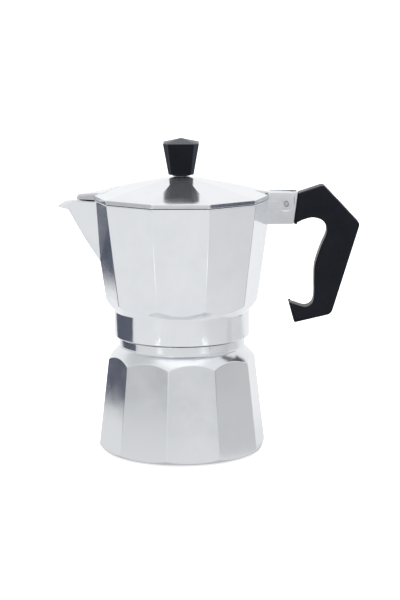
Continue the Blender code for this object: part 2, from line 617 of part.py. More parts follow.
def make_knob(parts, cutters, black, steel):
    points = knob_ring(KNOB_LOW_HALF - 0.3, KNOB_LOW_FACE - 0.2, KNOB_LOW_Z)
    points += knob_ring(KNOB_LOW_HALF, KNOB_LOW_FACE, KNOB_LOW_Z + 0.4)
    points += knob_ring(KNOB_RIM_HALF, KNOB_RIM_FACE, KNOB_RIM_Z - 0.35)
    points += knob_ring(KNOB_RIM_HALF - 0.35, KNOB_RIM_FACE - 0.2, KNOB_RIM_Z)
    bm = bmesh.new()
    for point in points + [Vector((0.0, 0.0, KNOB_TOP_Z))]:
        bm.verts.new(point * MM)
    bmesh.ops.convex_hull(bm, input=bm.verts)
    knob = place("lid_knob", finish_mesh(bm, "lid_knob"), parts, black)
    neck = cylinder("knob_neck", 4.8, LID_APEX_Z - 0.35 + FIT, KNOB_LOW_Z + 1.0, cutters)
    combine(knob, neck, "UNION", cutters)
    bore = cylinder("knob_bore", 2.0 + FIT, LID_APEX_Z - 2, KNOB_LOW_Z + 9.0, cutters)
    combine(knob, bore, "DIFFERENCE", cutters)

    under = LID_APEX_Z - 0.35 - LID_SHEET - 0.8
    turned("knob_washer", [(4.8, under - FIT), (4.8, under - FIT - 0.8), (2.0 + FIT, under - FIT - 0.8),
                           (2.0 + FIT, under - FIT)], SMALL_STEPS, parts, steel, True)
    head = under - 2 * FIT - 0.8
    screw = turned("knob_screw", [(0, KNOB_LOW_Z + 8.0), (1.6, KNOB_LOW_Z + 8.0), (2.0, KNOB_LOW_Z + 7.6),
                                  (2.0, head), (3.5, head), (3.5, head - 1.2), (2.6, head - 2.0),
                                  (0, head - 2.2)], SMALL_STEPS, parts, steel)
    slot = box("knob_screw_slot", (-5.0, -0.45, head - 4.0), (5.0, 0.45, head - 1.2), cutters)
    combine(screw, slot, "DIFFERENCE", cutters)


def make_pin(parts, look):
    end = EAR_HALF - 0.6
    pin = turned("hinge_pin", [(0, end), (PIN_R - 0.2, end), (PIN_R, end - 0.2), (PIN_R, 0.2 - end),
                               (PIN_R - 0.2, -end), (0, -end)], SMALL_STEPS, parts, look)
    lay_across(pin)


# ---------------------------------------------------------------- handle

def handle_outline():
    outer = rounded([(*JOINT_LOW, 0.5), (*JOINT_HIGH, 0.9), (71.7, 136.4, 2.2), (90.3, 116.6, 2.6),
                     (76.1, 70.3, 4.0), (57.2, 65.9, 1.0), (54.3, 76.4, 0.6)])
    arch = smooth_run([(57.0, 76.0), (58.3, 75.3), (62.9, 74.1), (66.2, 76.0), (67.2, 80.5), (67.15, 88.0),
                       (67.6, 96.0), (70.5, 105.1), (73.1, 111.2), (73.2, 115.2), (70.9, 118.5),
                       (66.3, 119.8), (61.6, 118.7), (59.5, 117.7), (58.0, 117.1)])
    return outer + arch


def make_handle(parts, cutters, black, steel):
    handle = plate("handle", handle_outline(), HANDLE_HALF, parts, black, HANDLE_EDGE)
    drills = [("handle_screw_hole", SCREW_R + FIT, -3.0, COUNTERBORE_DEPTH + 1),
              ("handle_counterbore", SCREW_HEAD_R + FIT, COUNTERBORE_DEPTH, 40.0)]
    for name, radius, low, high in drills:
        drill = cylinder(name, radius, low, high, cutters)
        lay_along_screw(drill)
        combine(handle, drill, "DIFFERENCE", cutters)

    seat = COUNTERBORE_DEPTH + FIT
    washer = turned("handle_washer", [(SCREW_HEAD_R, seat + 0.6), (SCREW_HEAD_R, seat), (SCREW_R + FIT, seat),
                                      (SCREW_R + FIT, seat + 0.6)], SMALL_STEPS, parts, steel, True)
    head = seat + 0.6 + FIT
    screw = turned("handle_screw", [(0, head + 2.0), (SCREW_HEAD_R - 1.3, head + 2.0),
                                    (SCREW_HEAD_R - 0.3, head + 1.3), (SCREW_HEAD_R - 0.1, head),
                                    (SCREW_R, head), (SCREW_R, -6.0), (SCREW_R - 0.4, -6.4), (0, -6.4)],
                   SMALL_STEPS, parts, steel)
    slot = box("handle_screw_slot", (-5.0, -0.4, head + 1.0), (5.0, 0.4, head + 4.0), cutters)
    hang(slot, screw)
    combine(screw, slot, "DIFFERENCE", cutters)
    for piece in (washer, screw):
        lay_along_screw(piece)


# ---------------------------------------------------------------- assembly

def main():
    clear_scene()
    parts = collection("moka_pot")
    cutters = collection("moka_pot_cutters")
    aluminium = material("cast_aluminium", (0.72, 0.73, 0.75), 0.22, 1.0)
    pressed = material("pressed_aluminium", (0.66, 0.67, 0.69), 0.32, 1.0)
    steel = material("steel", (0.55, 0.55, 0.56), 0.3, 1.0)
    brass = material("brass", (0.71, 0.54, 0.25), 0.3, 1.0)
    copper = material("fibre", (0.45, 0.2, 0.12), 0.7, 0.0)
    black = material("black_plastic", (0.02, 0.021, 0.024), 0.35, 0.0)
    rubber = material("seal_rubber", (0.78, 0.76, 0.7), 0.6, 0.0)

    boiler = make_boiler(parts, cutters, aluminium)
    make_valve(parts, cutters, boiler, brass, copper, steel)
    make_funnel(parts, cutters, pressed)
    make_seal(parts, cutters, rubber, pressed)
    make_collector(parts, cutters, aluminium)
    make_column(parts, cutters, pressed)
    make_lid(parts, cutters, aluminium)
    make_knob(parts, cutters, black, steel)
    make_pin(parts, steel)
    make_handle(parts, cutters, black, steel)


main()
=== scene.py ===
import math
from functools import partial, reduce

import bmesh
import bpy
from mathutils import Matrix, Vector


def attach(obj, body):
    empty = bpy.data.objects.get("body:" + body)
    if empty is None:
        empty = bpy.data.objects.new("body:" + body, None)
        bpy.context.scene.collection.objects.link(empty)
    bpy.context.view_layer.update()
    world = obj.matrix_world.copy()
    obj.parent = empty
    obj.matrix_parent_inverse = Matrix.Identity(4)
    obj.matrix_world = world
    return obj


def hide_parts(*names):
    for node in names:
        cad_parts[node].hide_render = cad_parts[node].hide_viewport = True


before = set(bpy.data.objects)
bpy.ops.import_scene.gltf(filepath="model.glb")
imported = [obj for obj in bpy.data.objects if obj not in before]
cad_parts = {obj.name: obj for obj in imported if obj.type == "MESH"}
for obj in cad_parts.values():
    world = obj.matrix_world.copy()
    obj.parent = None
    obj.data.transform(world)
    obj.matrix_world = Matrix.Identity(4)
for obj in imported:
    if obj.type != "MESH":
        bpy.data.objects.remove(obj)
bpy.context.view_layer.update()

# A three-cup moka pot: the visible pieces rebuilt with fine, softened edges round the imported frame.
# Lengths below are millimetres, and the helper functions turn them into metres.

MM = 0.001
FIT = 0.3
WELD = 0.000001  # metres
SIDES = 10
STEP = math.tau / SIDES
MITRE = math.cos(math.pi / SIDES)  # flat-to-flat over corner-to-corner
ROUND_STEPS = 144
SMALL_STEPS = 64
SOFT = 1.1  # radius of the softened corners of the ten-sided castings
SMOOTH_ANGLE = math.radians(32)

# Boiler
BOILER_FOOT_R, BOILER_TAPER, BOILER_TURN, BOILER_WALL = 43.3, 0.1166, math.radians(8.0), 3.0
FOOT_FLAT_R, FOOT_W, FOOT_H = 37.0, 8.0, 8.5
SHOULDER = ((38.9, 45.6), (36.9, 49.3), (31.7, 53.9))
NECK_R, NECK_TOP_Z = 32.0, 58.8
THREAD_ROOT_R, RIM_Z, MOUTH_R = 30.0, 66.5, 26.3
THREAD_PITCH, THREAD_WIRE_R = 3.0, 0.75

# Collector
COLLAR_R, COLLAR_Z, COLLAR_BORE_R = 34.49, 59.4, 32.3
BODY_TOP_R, BODY_TOP_Z, BODY_TAPER, BODY_WALL = 45.75, 129.2, 0.1365, 3.0
WAIST = ((39.4, 78.3), (35.0, 73.7), (COLLAR_R, 72.4))
FLOOR_Z = 77.8
SEAT_R, SEAT_LOW_Z, SEAT_Z = 31.4, 67.8, 70.9
PLATE_RECESS_R, PLATE_RECESS_Z = 28.8, 72.0
DOME_R, DOME_Z = 24.0, 74.2
BOSS_R, BOSS_Z, COLUMN_HOLE_R = 7.0, 80.0, 4.0
KEEL = [(-57.4, 123.5), (-49.2, 108.6), (-41.7, 97.1), (-38.8, 92.6)]

# Hinge bracket and its pin
PIN_X, PIN_Z, PIN_R = 52.9, 127.0, 1.2
BRACKET_HALF, TONGUE_HALF, KNUCKLE_R = 5.0, 2.5, 4.7
EAR_HALF, EAR_R, EAR_LOW_Z, EAR_TOP_Z = 5.5, 4.2, 128.1, 133.0
BLOCK_LOW_Z = 116.4

# Lid and knob
LID_LOW_Z, LID_APEX_Z = 129.5, 141.0
LID_SLOPE, LID_CURVE, LID_SHEET = 0.1514, 0.0012, 1.7
LID_CREST_Z = LID_APEX_Z - 0.35
LANDING_Z = LID_CREST_Z - LID_SHEET - 0.8  # the flat under the lid that the knob's washer meets
KNOB_LOW_Z, KNOB_RIM_Z, KNOB_TOP_Z = 141.7, 157.46, 160.0
KNOB_RIM_HALF, KNOB_LOW_HALF, KNOB_RIM_FACE, KNOB_LOW_FACE = 9.1, 6.35, 6.7, 4.9
KNOB_NECK_R, KNOB_SCREW_R, KNOB_SCREW_HEAD_R, KNOB_WASHER_T = 4.8, 2.0, 3.5, 0.8

# Handle
HANDLE_HALF, HANDLE_EDGE = 5.5, 1.3
JOINT_LOW, JOINT_HIGH = (56.95, 116.7), (59.0, 132.2)
SCREW_START, SCREW_ANGLE = (57.4, 120.6), 16.7
SCREW_R, SCREW_HEAD_R, COUNTERBORE_DEPTH, SCREW_WASHER_T = 1.75, 3.1, 13.7, 0.6

# Funnel, gasket, filter plate and column
FLANGE_R, FLANGE_Z, FLANGE_T = 29.6, 66.8, 1.0
CUP_R, CUP_WALL, CUP_LOW_Z = 25.0, 0.8, 48.0
TUBE_R, TUBE_BORE_R, TUBE_LOW_Z, TUBE_TOP_Z = 4.6, 3.8, 6.5, 44.5
GASKET_IN_R, GASKET_OUT_R, GASKET_Z, GASKET_T = 24.6, 31.0, 68.1, 2.5
PLATE_R, PLATE_T = 28.4, 0.8
HOLE_R, HOLE_PITCH, HOLE_STEPS = 0.75, 3.3, 14
COLUMN_TOP_Z, COLUMN_R, COLUMN_BORE_R = 115.0, 3.8, 3.0
COLUMN_CAP_R, COLUMN_CAP_LOW_Z, COLUMN_CAP_HIGH_Z = 5.0, 110.0, 120.5

# Safety valve, measured outward from the boiler's facet unless named Z
VALVE_FACET, VALVE_Z = math.radians(98.0), 35.0
VALVE_STUB_R, VALVE_BORE_R = 3.5, 2.5
VALVE_HEX_R, VALVE_HEX_LOW, VALVE_HEX_HIGH = 5.8, 1.3, 5.3
VALVE_CAP_LOW, VALVE_CAP_HIGH = 4.6, 5.9
PLUNGER_R, PLUNGER_LOW, PLUNGER_T, STEM_R = 2.1, -2.3, 1.1, 0.6
COIL_R, COIL_WIRE_R, COIL_TURNS = 1.5, 0.25, 5

# Camera: its place, its tilt down and its roll, and its lens in millimetres
CAMERA_AT = (9.308, -999.27, 255.93)
CAMERA_PITCH, CAMERA_ROLL, CAMERA_LENS = math.radians(10.155), math.radians(-0.173), 119.31


# ---- outlines

def arc(centre, radii, start, end, count):
    """Points along an ellipse's arc, both ends included, with its angles in degrees."""
    points = []
    for i in range(count + 1):
        angle = math.radians(start + (end - start) * i / count)
        points.append((centre[0] + radii[0] * math.cos(angle), centre[1] + radii[1] * math.sin(angle)))
    return points


def on_bend(curve, t):
    """A point on the quadratic curve that three control points give."""
    weights = ((1 - t) ** 2, 2 * t * (1 - t), t * t)
    return tuple(sum(w * p[k] for w, p in zip(weights, curve)) for k in (0, 1))


def rounded(corners, count, cyclic=True):
    """A line whose corners (x, y, radius) are replaced by arcs. A point with no radius stays as it is."""
    points = []
    last = len(corners) - 1
    for i, corner in enumerate(corners):
        x, y = corner[:2]
        radius = corner[2] if len(corner) > 2 else 0
        if not radius or (not cyclic and i in (0, last)):
            points.append((x, y))
            continue
        here = Vector((x, y))
        before = Vector(corners[i - 1][:2]) - here
        after = Vector(corners[(i + 1) % len(corners)][:2]) - here
        most = 0.48 * min(before.length, after.length)
        before.normalize()
        after.normalize()
        half = before.angle(after) / 2
        reach = min(radius / math.tan(half), most)
        radius = reach * math.tan(half)
        if reach < 0.0001:
            points += [(x, y)] * (count + 1)
            continue
        start, end = here + before * reach, here + after * reach
        centre = here + (before + after).normalized() * (radius / math.sin(half))
        first = start - centre
        turn = first.angle_signed(end - centre)
        for k in range(count + 1):
            step = first.copy()
            step.rotate(Matrix.Rotation(-turn * k / count, 2))
            points.append(tuple(centre + step))
    return points


def smooth_run(points, count=8):
    """A Catmull-Rom curve through the points, without its first and last."""
    made = []
    for i in range(1, len(points) - 2):
        a, b, c, d = (Vector(points[i + k]) for k in (-1, 0, 1, 2))
        for k in range(count):
            t = k / count
            made.append(tuple(0.5 * (2 * b + (c - a) * t + (2 * a - 5 * b + 4 * c - d) * t * t
                                     + (3 * b - a - 3 * c + d) * t ** 3)))
    made.append(tuple(points[-2]))
    return made


def side_r(corner_r, azimuth, soft=SOFT, sides=SIDES):
    """Distance from Z to the side of a polygon with softened corners, one of which is at azimuth 0."""
    step = math.tau / sides
    mitre = math.cos(step / 2)
    off = abs((azimuth + step / 2) % step - step / 2)
    soft = min(soft, 0.4 * corner_r)
    apothem = corner_r * mitre
    centre = (apothem - soft) / mitre
    if off <= math.atan2(soft * math.sin(step / 2), centre + soft * mitre):
        return centre * math.cos(off) + math.sqrt(soft ** 2 - (centre * math.sin(off)) ** 2)
    return apothem / math.cos(step / 2 - off)


def side_azimuths(turn, between, reach=0.5):
    """Azimuths for a ten-sided piece, close together round each corner and even between them."""
    found = []
    for k in range(SIDES):
        corner = [math.radians(reach * o) for o in (-1.5, -1.0, -0.7, -0.35, 0.0, 0.35, 0.7, 1.0, 1.5)]
        span = STEP - 2 * corner[-1]
        corner += [corner[-1] + span * i / between for i in range(1, between)]
        found += [turn + k * STEP + o for o in corner]
    return found


def crossing(gap, low, high):
    """Where a gap that is negative at low and positive at high is nothing."""
    for _ in range(40):
        middle = (low + high) / 2
        low, high = (low, middle) if gap(middle) > 0 else (middle, high)
    return (low + high) / 2


# ---- meshes

def place(name, mesh):
    made = bpy.data.objects.new(name, mesh)
    bpy.context.scene.collection.objects.link(made)
    return made


def solidified(name, bm):
    """An object made from the bmesh, with its normals outward and its hard edges sharp."""
    bmesh.ops.remove_doubles(bm, verts=bm.verts, dist=WELD)
    bmesh.ops.recalc_face_normals(bm, faces=bm.faces)
    mesh = bpy.data.meshes.new(name)
    bm.to_mesh(mesh)
    bm.free()
    mesh.shade_smooth()
    mesh.set_sharp_from_angle(angle=SMOOTH_ANGLE)
    return place(name, mesh)


def baked(source):
    """The source's evaluated shape as an object whose mesh is in the frame's own coordinates."""
    bpy.context.view_layer.update()
    graph = bpy.context.evaluated_depsgraph_get()
    mesh = bpy.data.meshes.new_from_object(source.evaluated_get(graph))
    bm = bmesh.new()
    bm.from_mesh(mesh)
    bmesh.ops.transform(bm, matrix=source.matrix_world, verts=bm.verts)
    name = source.name
    bpy.data.objects.remove(source)
    return solidified(name, bm)


def lofted(name, sections, azimuths, closed=False):
    """A skin through upright sections of (radius, height), one at each azimuth round Z."""
    rows = len(sections[0])
    verts = [(r * math.cos(a) * MM, r * math.sin(a) * MM, z * MM)
             for a, section in zip(azimuths, sections) for r, z in section]
    faces = []
    for i in range(len(azimuths)):
        here, there = i * rows, (i + 1) % len(azimuths) * rows
        for j in range(rows if closed else rows - 1):
            k = (j + 1) % rows
            faces.append((here + j, there + j, there + k, here + k))
    mesh = bpy.data.meshes.new(name)
    mesh.from_pydata(verts, [], faces)
    bm = bmesh.new()
    bm.from_mesh(mesh)
    bmesh.ops.remove_doubles(bm, verts=bm.verts, dist=WELD)
    bmesh.ops.dissolve_degenerate(bm, edges=bm.edges, dist=WELD)
    return solidified(name, bm)


def turned(name, profile, steps=ROUND_STEPS, closed=False):
    """A profile of (radius, height, edge radius) turned round Z."""
    section = rounded(profile, 4, cyclic=closed)
    return lofted(name, [section] * steps, [math.tau * i / steps for i in range(steps)], closed)


def cylinder(name, radius, low, high, steps=SMALL_STEPS):
    return turned(name, [(0, high), (radius, high), (radius, low), (0, low)], steps)


def box(name, low, high):
    bm = bmesh.new()
    bmesh.ops.create_cube(bm, size=1.0)
    for vert in bm.verts:
        vert.co = Vector([(a + (c + 0.5) * (b - a)) * MM for a, b, c in zip(low, high, vert.co)])
    return solidified(name, bm)


def hull(name, points, soft=0.0):
    """The convex solid round the points, with softened edges. A point off XZ has a mirror image too."""
    bm = bmesh.new()
    for x, y, z in points:
        bm.verts.new((x * MM, y * MM, z * MM))
        if y:
            bm.verts.new((x * MM, -y * MM, z * MM))
    result = bmesh.ops.convex_hull(bm, input=bm.verts)
    loose = {item for key in ("geom_interior", "geom_unused") for item in result[key]}
    bmesh.ops.delete(bm, geom=[v for v in loose if isinstance(v, bmesh.types.BMVert)], context="VERTS")
    made = solidified(name, bm)
    return softened(made, soft, 12) if soft else made


def softened(piece, width, limit=25):
    """Rounds the piece's edges that turn by more than a limit in degrees."""
    flat = piece.modifiers.new("flat", "DECIMATE")
    flat.decimate_type = "DISSOLVE"
    flat.angle_limit = math.radians(0.5)
    bevel = piece.modifiers.new("soft", "BEVEL")
    bevel.width = width * MM
    bevel.segments = 4
    bevel.limit_method = "ANGLE"
    bevel.angle_limit = math.radians(limit)
    return baked(piece)


def flat_curve(name, half, edge, segments):
    """A filled curve with no outline yet, half its thickness, and the radius of its rounded edges."""
    curve = bpy.data.curves.new(name, "CURVE")
    curve.dimensions = "2D"
    curve.fill_mode = "BOTH"
    curve.extrude = (half - edge) * MM
    curve.bevel_depth = edge * MM
    curve.bevel_resolution = segments
    return curve


def add_loop(curve, points):
    spline = curve.splines.new("POLY")
    spline.points.add(len(points) - 1)
    for point, (x, y) in zip(spline.points, points):
        point.co = (x * MM, y * MM, 0.0, 1.0)
    spline.use_cyclic_u = True


def plate(name, outline, half, edge=0.0, segments=4):
    """An outline in the XZ plane, given as (x, z), with its thickness along Y and rounded edges."""
    curve = flat_curve(name, half, edge, segments)
    curve.offset = -edge * MM
    add_loop(curve, outline)
    made = place(name, curve)
    made.rotation_euler = (math.radians(90), 0.0, 0.0)
    return baked(made)


def sieve(name, radius, reach, low, high, edge=0.12):
    """A flat disc round Z pierced with a hexagonal grid of round holes."""
    curve = flat_curve(name, (high - low) / 2, edge, 1)
    rims = [(0.0, 0.0, radius - edge, ROUND_STEPS)]
    rows = int(reach / HOLE_PITCH) + 2
    for row in range(-rows, rows + 1):
        for column in range(-rows, rows + 1):
            x = (column + 0.5 * (row % 2)) * HOLE_PITCH
            y = row * HOLE_PITCH * math.sin(math.pi / 3)
            if math.hypot(x, y) < reach:
                rims.append((x, y, HOLE_R + edge, HOLE_STEPS))
    for x, y, r, count in rims:
        angles = [math.tau * i / count for i in range(count)]
        add_loop(curve, [(x + r * math.cos(a), y + r * math.sin(a)) for a in angles])
    made = place(name, curve)
    made.location.z = (low + high) / 2 * MM
    return baked(made)


def coil(name, radius, wire, low, high, turns, per_turn, fade=False):
    """A helical wire round Z. With fade its ends run out to a point, as a cast thread's do."""
    curve = bpy.data.curves.new(name, "CURVE")
    curve.dimensions = "3D"
    curve.bevel_depth = wire * MM
    curve.bevel_resolution = 2
    curve.use_fill_caps = True
    count = round(turns * per_turn)
    spline = curve.splines.new("POLY")
    spline.points.add(count)
    for i, point in enumerate(spline.points):
        angle = math.tau * i / per_turn
        height = low + (high - low) * i / count
        point.co = (radius * math.cos(angle) * MM, radius * math.sin(angle) * MM, height * MM, 1.0)
        if fade:
            point.radius = min(1.0, 0.25 + 4.0 * min(i, count - i) / per_turn)
    return baked(place(name, curve))


def moved(piece, matrix):
    piece.data.transform(matrix)
    piece.data.update()
    return piece


def combined(target, add=(), cut=()):
    """Joins the pieces to add to the target, then cuts it with the others, and uses them all up."""
    tools = [("UNION", piece) for piece in add] + [("DIFFERENCE", piece) for piece in cut]
    for operation, tool in tools:
        change = target.modifiers.new(tool.name, "BOOLEAN")
        change.operation = operation
        change.solver = "EXACT"
        change.object = tool
    made = baked(target)
    for _, tool in tools:
        bpy.data.objects.remove(tool)
    return made


ACROSS = Matrix.Translation((PIN_X * MM, 0.0, PIN_Z * MM)) @ Matrix.Rotation(math.radians(90), 4, "X")
ALONG_SCREW = (Matrix.Translation((SCREW_START[0] * MM, 0.0, SCREW_START[1] * MM))
               @ Matrix.Rotation(math.radians(90 - SCREW_ANGLE), 4, "Y"))
VALVE_REACH = (BOILER_FOOT_R - BOILER_TAPER * VALVE_Z) * MITRE
ALONG_VALVE = (Matrix.Translation((VALVE_REACH * math.cos(VALVE_FACET) * MM,
                                   VALVE_REACH * math.sin(VALVE_FACET) * MM, VALVE_Z * MM))
               @ Matrix.Rotation(VALVE_FACET, 4, "Z")
               @ Matrix.Rotation(math.radians(90) - math.atan(BOILER_TAPER * MITRE), 4, "Y"))


# ---- looks

class Look:
    """A material whose shader is fed by procedural textures in the piece's own coordinates."""

    def __init__(self, name, colour, metallic, roughness):
        self.material = bpy.data.materials.new(name)
        self.material.use_nodes = True
        self.tree = self.material.node_tree
        self.shader = self.tree.nodes["Principled BSDF"]
        self.shader.inputs["Base Color"].default_value = (*colour, 1.0)
        self.shader.inputs["Metallic"].default_value = metallic
        self.shader.inputs["Roughness"].default_value = roughness
        self.place = self.node("ShaderNodeTexCoord").outputs["Object"]
        self.height = None

    def node(self, kind, **values):
        made = self.tree.nodes.new(kind)
        for key, value in values.items():
            setattr(made, key, value)
        return made

    def link(self, start, end):
        self.tree.links.new(start, end)

    def split(self, vector):
        made = self.node("ShaderNodeSeparateXYZ")
        self.link(vector, made.inputs["Vector"])
        return made.outputs

    def maths(self, operation, *sources):
        made = self.node("ShaderNodeMath", operation=operation)
        for source, socket in zip(sources, made.inputs):
            self.link(source, socket)
        return made.outputs[0]

    def sum(self, *sources):
        return reduce(partial(self.maths, "ADD"), sources)

    def product(self, *sources):
        return reduce(partial(self.maths, "MULTIPLY"), sources)

    def size(self, source):
        return self.maths("ABSOLUTE", source)

    def noise(self, size, detail=3.0, roughness=0.5, stretch=None, start=None):
        """Noise whose features are about that many millimetres across."""
        made = self.node("ShaderNodeTexNoise")
        made.inputs["Scale"].default_value = 1.0 / (size * MM)
        made.inputs["Detail"].default_value = detail
        made.inputs["Roughness"].default_value = roughness
        start = start or self.place
        if stretch:
            mapping = self.node("ShaderNodeMapping")
            mapping.inputs["Scale"].default_value = stretch
            self.link(start, mapping.inputs["Vector"])
            start = mapping.outputs["Vector"]
        self.link(start, made.inputs["Vector"])
        return made.outputs["Fac"]

    def rings(self, size):
        """Fine circular tool marks round Z."""
        parts = self.split(self.place)
        squares = [self.product(parts[axis], parts[axis]) for axis in "XY"]
        merge = self.node("ShaderNodeCombineXYZ")
        self.link(self.maths("SQRT", self.sum(*squares)), merge.inputs["X"])
        self.link(parts["Z"], merge.inputs["Y"])
        return self.noise(size, 2.0, start=merge.outputs["Vector"])

    def between(self, source, low, high, to_low=0.0, to_high=1.0):
        made = self.node("ShaderNodeMapRange")
        for key, value in (("From Min", low), ("From Max", high), ("To Min", to_low), ("To Max", to_high)):
            made.inputs[key].default_value = value
        self.link(source, made.inputs["Value"])
        return made.outputs["Result"]

    def colours(self, source, *stops):
        """Colours the shader by a ramp of (place, colour) stops."""
        ramp = self.node("ShaderNodeValToRGB")
        elements = ramp.color_ramp.elements
        while len(elements) < len(stops):
            elements.new(0.5)
        for element, (spot, colour) in zip(elements, stops):
            element.position = spot
            element.color = (*colour, 1.0)
        self.link(source, ramp.inputs["Fac"])
        self.link(ramp.outputs["Color"], self.shader.inputs["Base Color"])

    def facing(self, *axes):
        """The product of the surface normal's sizes along the axes, in the piece's own coordinates."""
        parts = self.split(self.node("ShaderNodeTexCoord").outputs["Normal"])
        return self.product(*(self.size(parts[axis]) for axis in axes))

    def tint(self, mask, colour):
        """Mixes a colour into the base colour where the mask is high."""
        socket = self.shader.inputs["Base Color"]
        mix = self.node("ShaderNodeMix", data_type="RGBA")
        self.link(socket.links[0].from_socket, mix.inputs[6])
        mix.inputs[7].default_value = (*colour, 1.0)
        self.link(mask, mix.inputs["Factor"])
        self.link(mix.outputs[2], socket)

    def rough(self, source):
        self.link(source, self.shader.inputs["Roughness"])

    def mottled(self, source, rough, dark, pale, spread=(0.25, 0.75), fine=None):
        """Runs the roughness over its range and the colour from dark to pale. Fine adds to the roughness."""
        coarse = self.between(source, 0.3, 0.7, *rough)
        self.rough(self.sum(coarse, fine) if fine else coarse)
        self.colours(self.between(source, *spread), (0.0, dark), (1.0, pale))

    def bump(self, source, depth, strength=1.0):
        """Raises the surface by that many millimetres, on top of any bump before."""
        made = self.node("ShaderNodeBump")
        made.inputs["Distance"].default_value = depth * MM
        made.inputs["Strength"].default_value = strength
        self.link(source, made.inputs["Height"])
        if self.height:
            self.link(self.height, made.inputs["Normal"])
        self.height = made.outputs["Normal"]
        self.link(self.height, self.shader.inputs["Normal"])


def polished_aluminium():
    """Cast aluminium brought to a bright polish, with faint buffing marks and handling haze."""
    look = Look("polished_aluminium", (0.80, 0.82, 0.85), 0.94, 0.12)
    haze = look.noise(11.0, 5.0, 0.6)
    marks = look.noise(1.2, 3.0, 0.6, (0.18, 0.18, 1.0))
    grain = look.noise(0.22, 2.0)
    look.mottled(haze, (0.06, 0.13), (0.77, 0.79, 0.82), (0.82, 0.838, 0.862),
                 fine=look.between(marks, 0.35, 0.75, 0.0, 0.05))
    look.bump(look.noise(9.0, 2.0), 0.010)
    look.bump(marks, 0.0012)
    look.bump(grain, 0.0006)
    return look


def satin_aluminium():
    """The same casting where it was left less bright, on the boiler's sides."""
    look = Look("satin_aluminium", (0.76, 0.78, 0.81), 0.96, 0.2)
    haze = look.noise(14.0, 5.0, 0.6)
    grain = look.noise(0.35, 3.0, 0.65)
    look.mottled(haze, (0.12, 0.22), (0.735, 0.755, 0.785), (0.775, 0.793, 0.815),
                 fine=look.between(grain, 0.3, 0.8, 0.0, 0.05))
    look.bump(look.noise(12.0, 2.0), 0.016)
    look.bump(grain, 0.0022)
    return look


def raw_aluminium():
    """Unpolished casting inside the pot: dull, grainy and a little uneven."""
    look = Look("raw_aluminium", (0.62, 0.63, 0.64), 1.0, 0.45)
    patches = look.noise(7.0, 5.0, 0.65)
    grain = look.noise(0.5, 4.0, 0.7)
    look.mottled(patches, (0.36, 0.56), (0.50, 0.51, 0.52), (0.68, 0.69, 0.70))
    look.bump(grain, 0.03, 0.7)
    return look


def pressed_aluminium():
    """Spun and pressed sheet with circular tool marks."""
    look = Look("pressed_aluminium", (0.72, 0.73, 0.74), 1.0, 0.28)
    rings = look.rings(0.35)
    haze = look.noise(8.0, 4.0, 0.6)
    look.mottled(haze, (0.18, 0.30), (0.64, 0.65, 0.67), (0.77, 0.78, 0.79),
                 fine=look.between(rings, 0.3, 0.7, 0.0, 0.10))
    look.bump(rings, 0.006, 0.6)
    return look


def steel():
    look = Look("bright_steel", (0.56, 0.57, 0.58), 1.0, 0.24)
    haze = look.noise(1.6, 4.0, 0.6)
    look.mottled(haze, (0.17, 0.34), (0.47, 0.47, 0.48), (0.62, 0.62, 0.63), (0.2, 0.8))
    look.bump(look.noise(0.25, 3.0), 0.003)
    return look


def brass():
    look = Look("turned_brass", (0.72, 0.52, 0.23), 1.0, 0.25)
    tarnish = look.noise(2.2, 5.0, 0.65)
    look.rough(look.between(tarnish, 0.3, 0.7, 0.18, 0.38))
    look.colours(look.between(tarnish, 0.25, 0.8), (0.0, (0.55, 0.37, 0.15)), (0.55, (0.74, 0.54, 0.24)),
                 (1.0, (0.80, 0.62, 0.31)))
    look.bump(look.noise(0.3, 3.0), 0.004)
    return look


def fibre():
    look = Look("red_fibre", (0.42, 0.09, 0.05), 0.0, 0.7)
    threads = look.noise(0.5, 5.0, 0.7, (1.0, 1.0, 0.3))
    look.mottled(threads, (0.58, 0.8), (0.30, 0.055, 0.03), (0.52, 0.13, 0.07), (0.3, 0.7))
    look.bump(threads, 0.03, 0.6)
    return look


def black_plastic():
    """Moulded phenolic: near-black, with a fine grain and slightly rubbed patches."""
    look = Look("black_plastic", (0.004, 0.0047, 0.0075), 0.0, 0.3)
    look.shader.inputs["Specular IOR Level"].default_value = 0.13
    rub = look.noise(9.0, 5.0, 0.6)
    grain = look.noise(0.4, 3.0, 0.6)
    look.mottled(rub, (0.24, 0.36), (0.0030, 0.0036, 0.0064), (0.0056, 0.0064, 0.0104), (0.3, 0.75),
                 look.between(grain, 0.3, 0.7, 0.0, 0.05))
    look.bump(grain, 0.006, 0.6)
    look.bump(look.noise(14.0, 2.0), 0.03)
    return look


def sheen_painted_plastic():
    """The same black with a painted sheen: its cut corners and its top painted paler, where they catch the
    light.
    """
    look = black_plastic()
    look.material.name = "sheen_painted_plastic"
    # Painted sheen: the cut corners paler, as grazing light catches them.
    look.tint(look.between(look.facing("X", "Y"), 0.25, 0.42), (0.026, 0.029, 0.038))
    # Painted highlight: the upward-facing top paler, as the overhead light falls on it.
    look.tint(look.between(look.facing("Z"), 0.5, 0.8), (0.050, 0.055, 0.065))
    return look


def silicone():
    look = Look("pale_silicone", (0.76, 0.74, 0.68), 0.0, 0.5)
    stain = look.noise(6.0, 4.0, 0.6)
    look.mottled(stain, (0.42, 0.6), (0.70, 0.67, 0.59), (0.80, 0.785, 0.735), (0.3, 0.75))
    look.bump(look.noise(0.6, 3.0), 0.01, 0.5)
    return look


# Each finish is the slot it belongs to and its look
POLISHED, SATIN = ("cast_aluminium", polished_aluminium()), ("cast_aluminium", satin_aluminium())
PRESSED, STEEL = ("pressed_aluminium", pressed_aluminium()), ("steel", steel())
BRASS, FIBRE = ("brass", brass()), ("red_fibre", fibre())
# The second black carries painted sheen on the knob's cut corners and top.
BLACK, BLACK_WITH_PAINTED_SHEEN = ("black_plastic", black_plastic()), ("black_plastic", sheen_painted_plastic())
SILICONE = ("seal_rubber", silicone())
RAW = raw_aluminium()


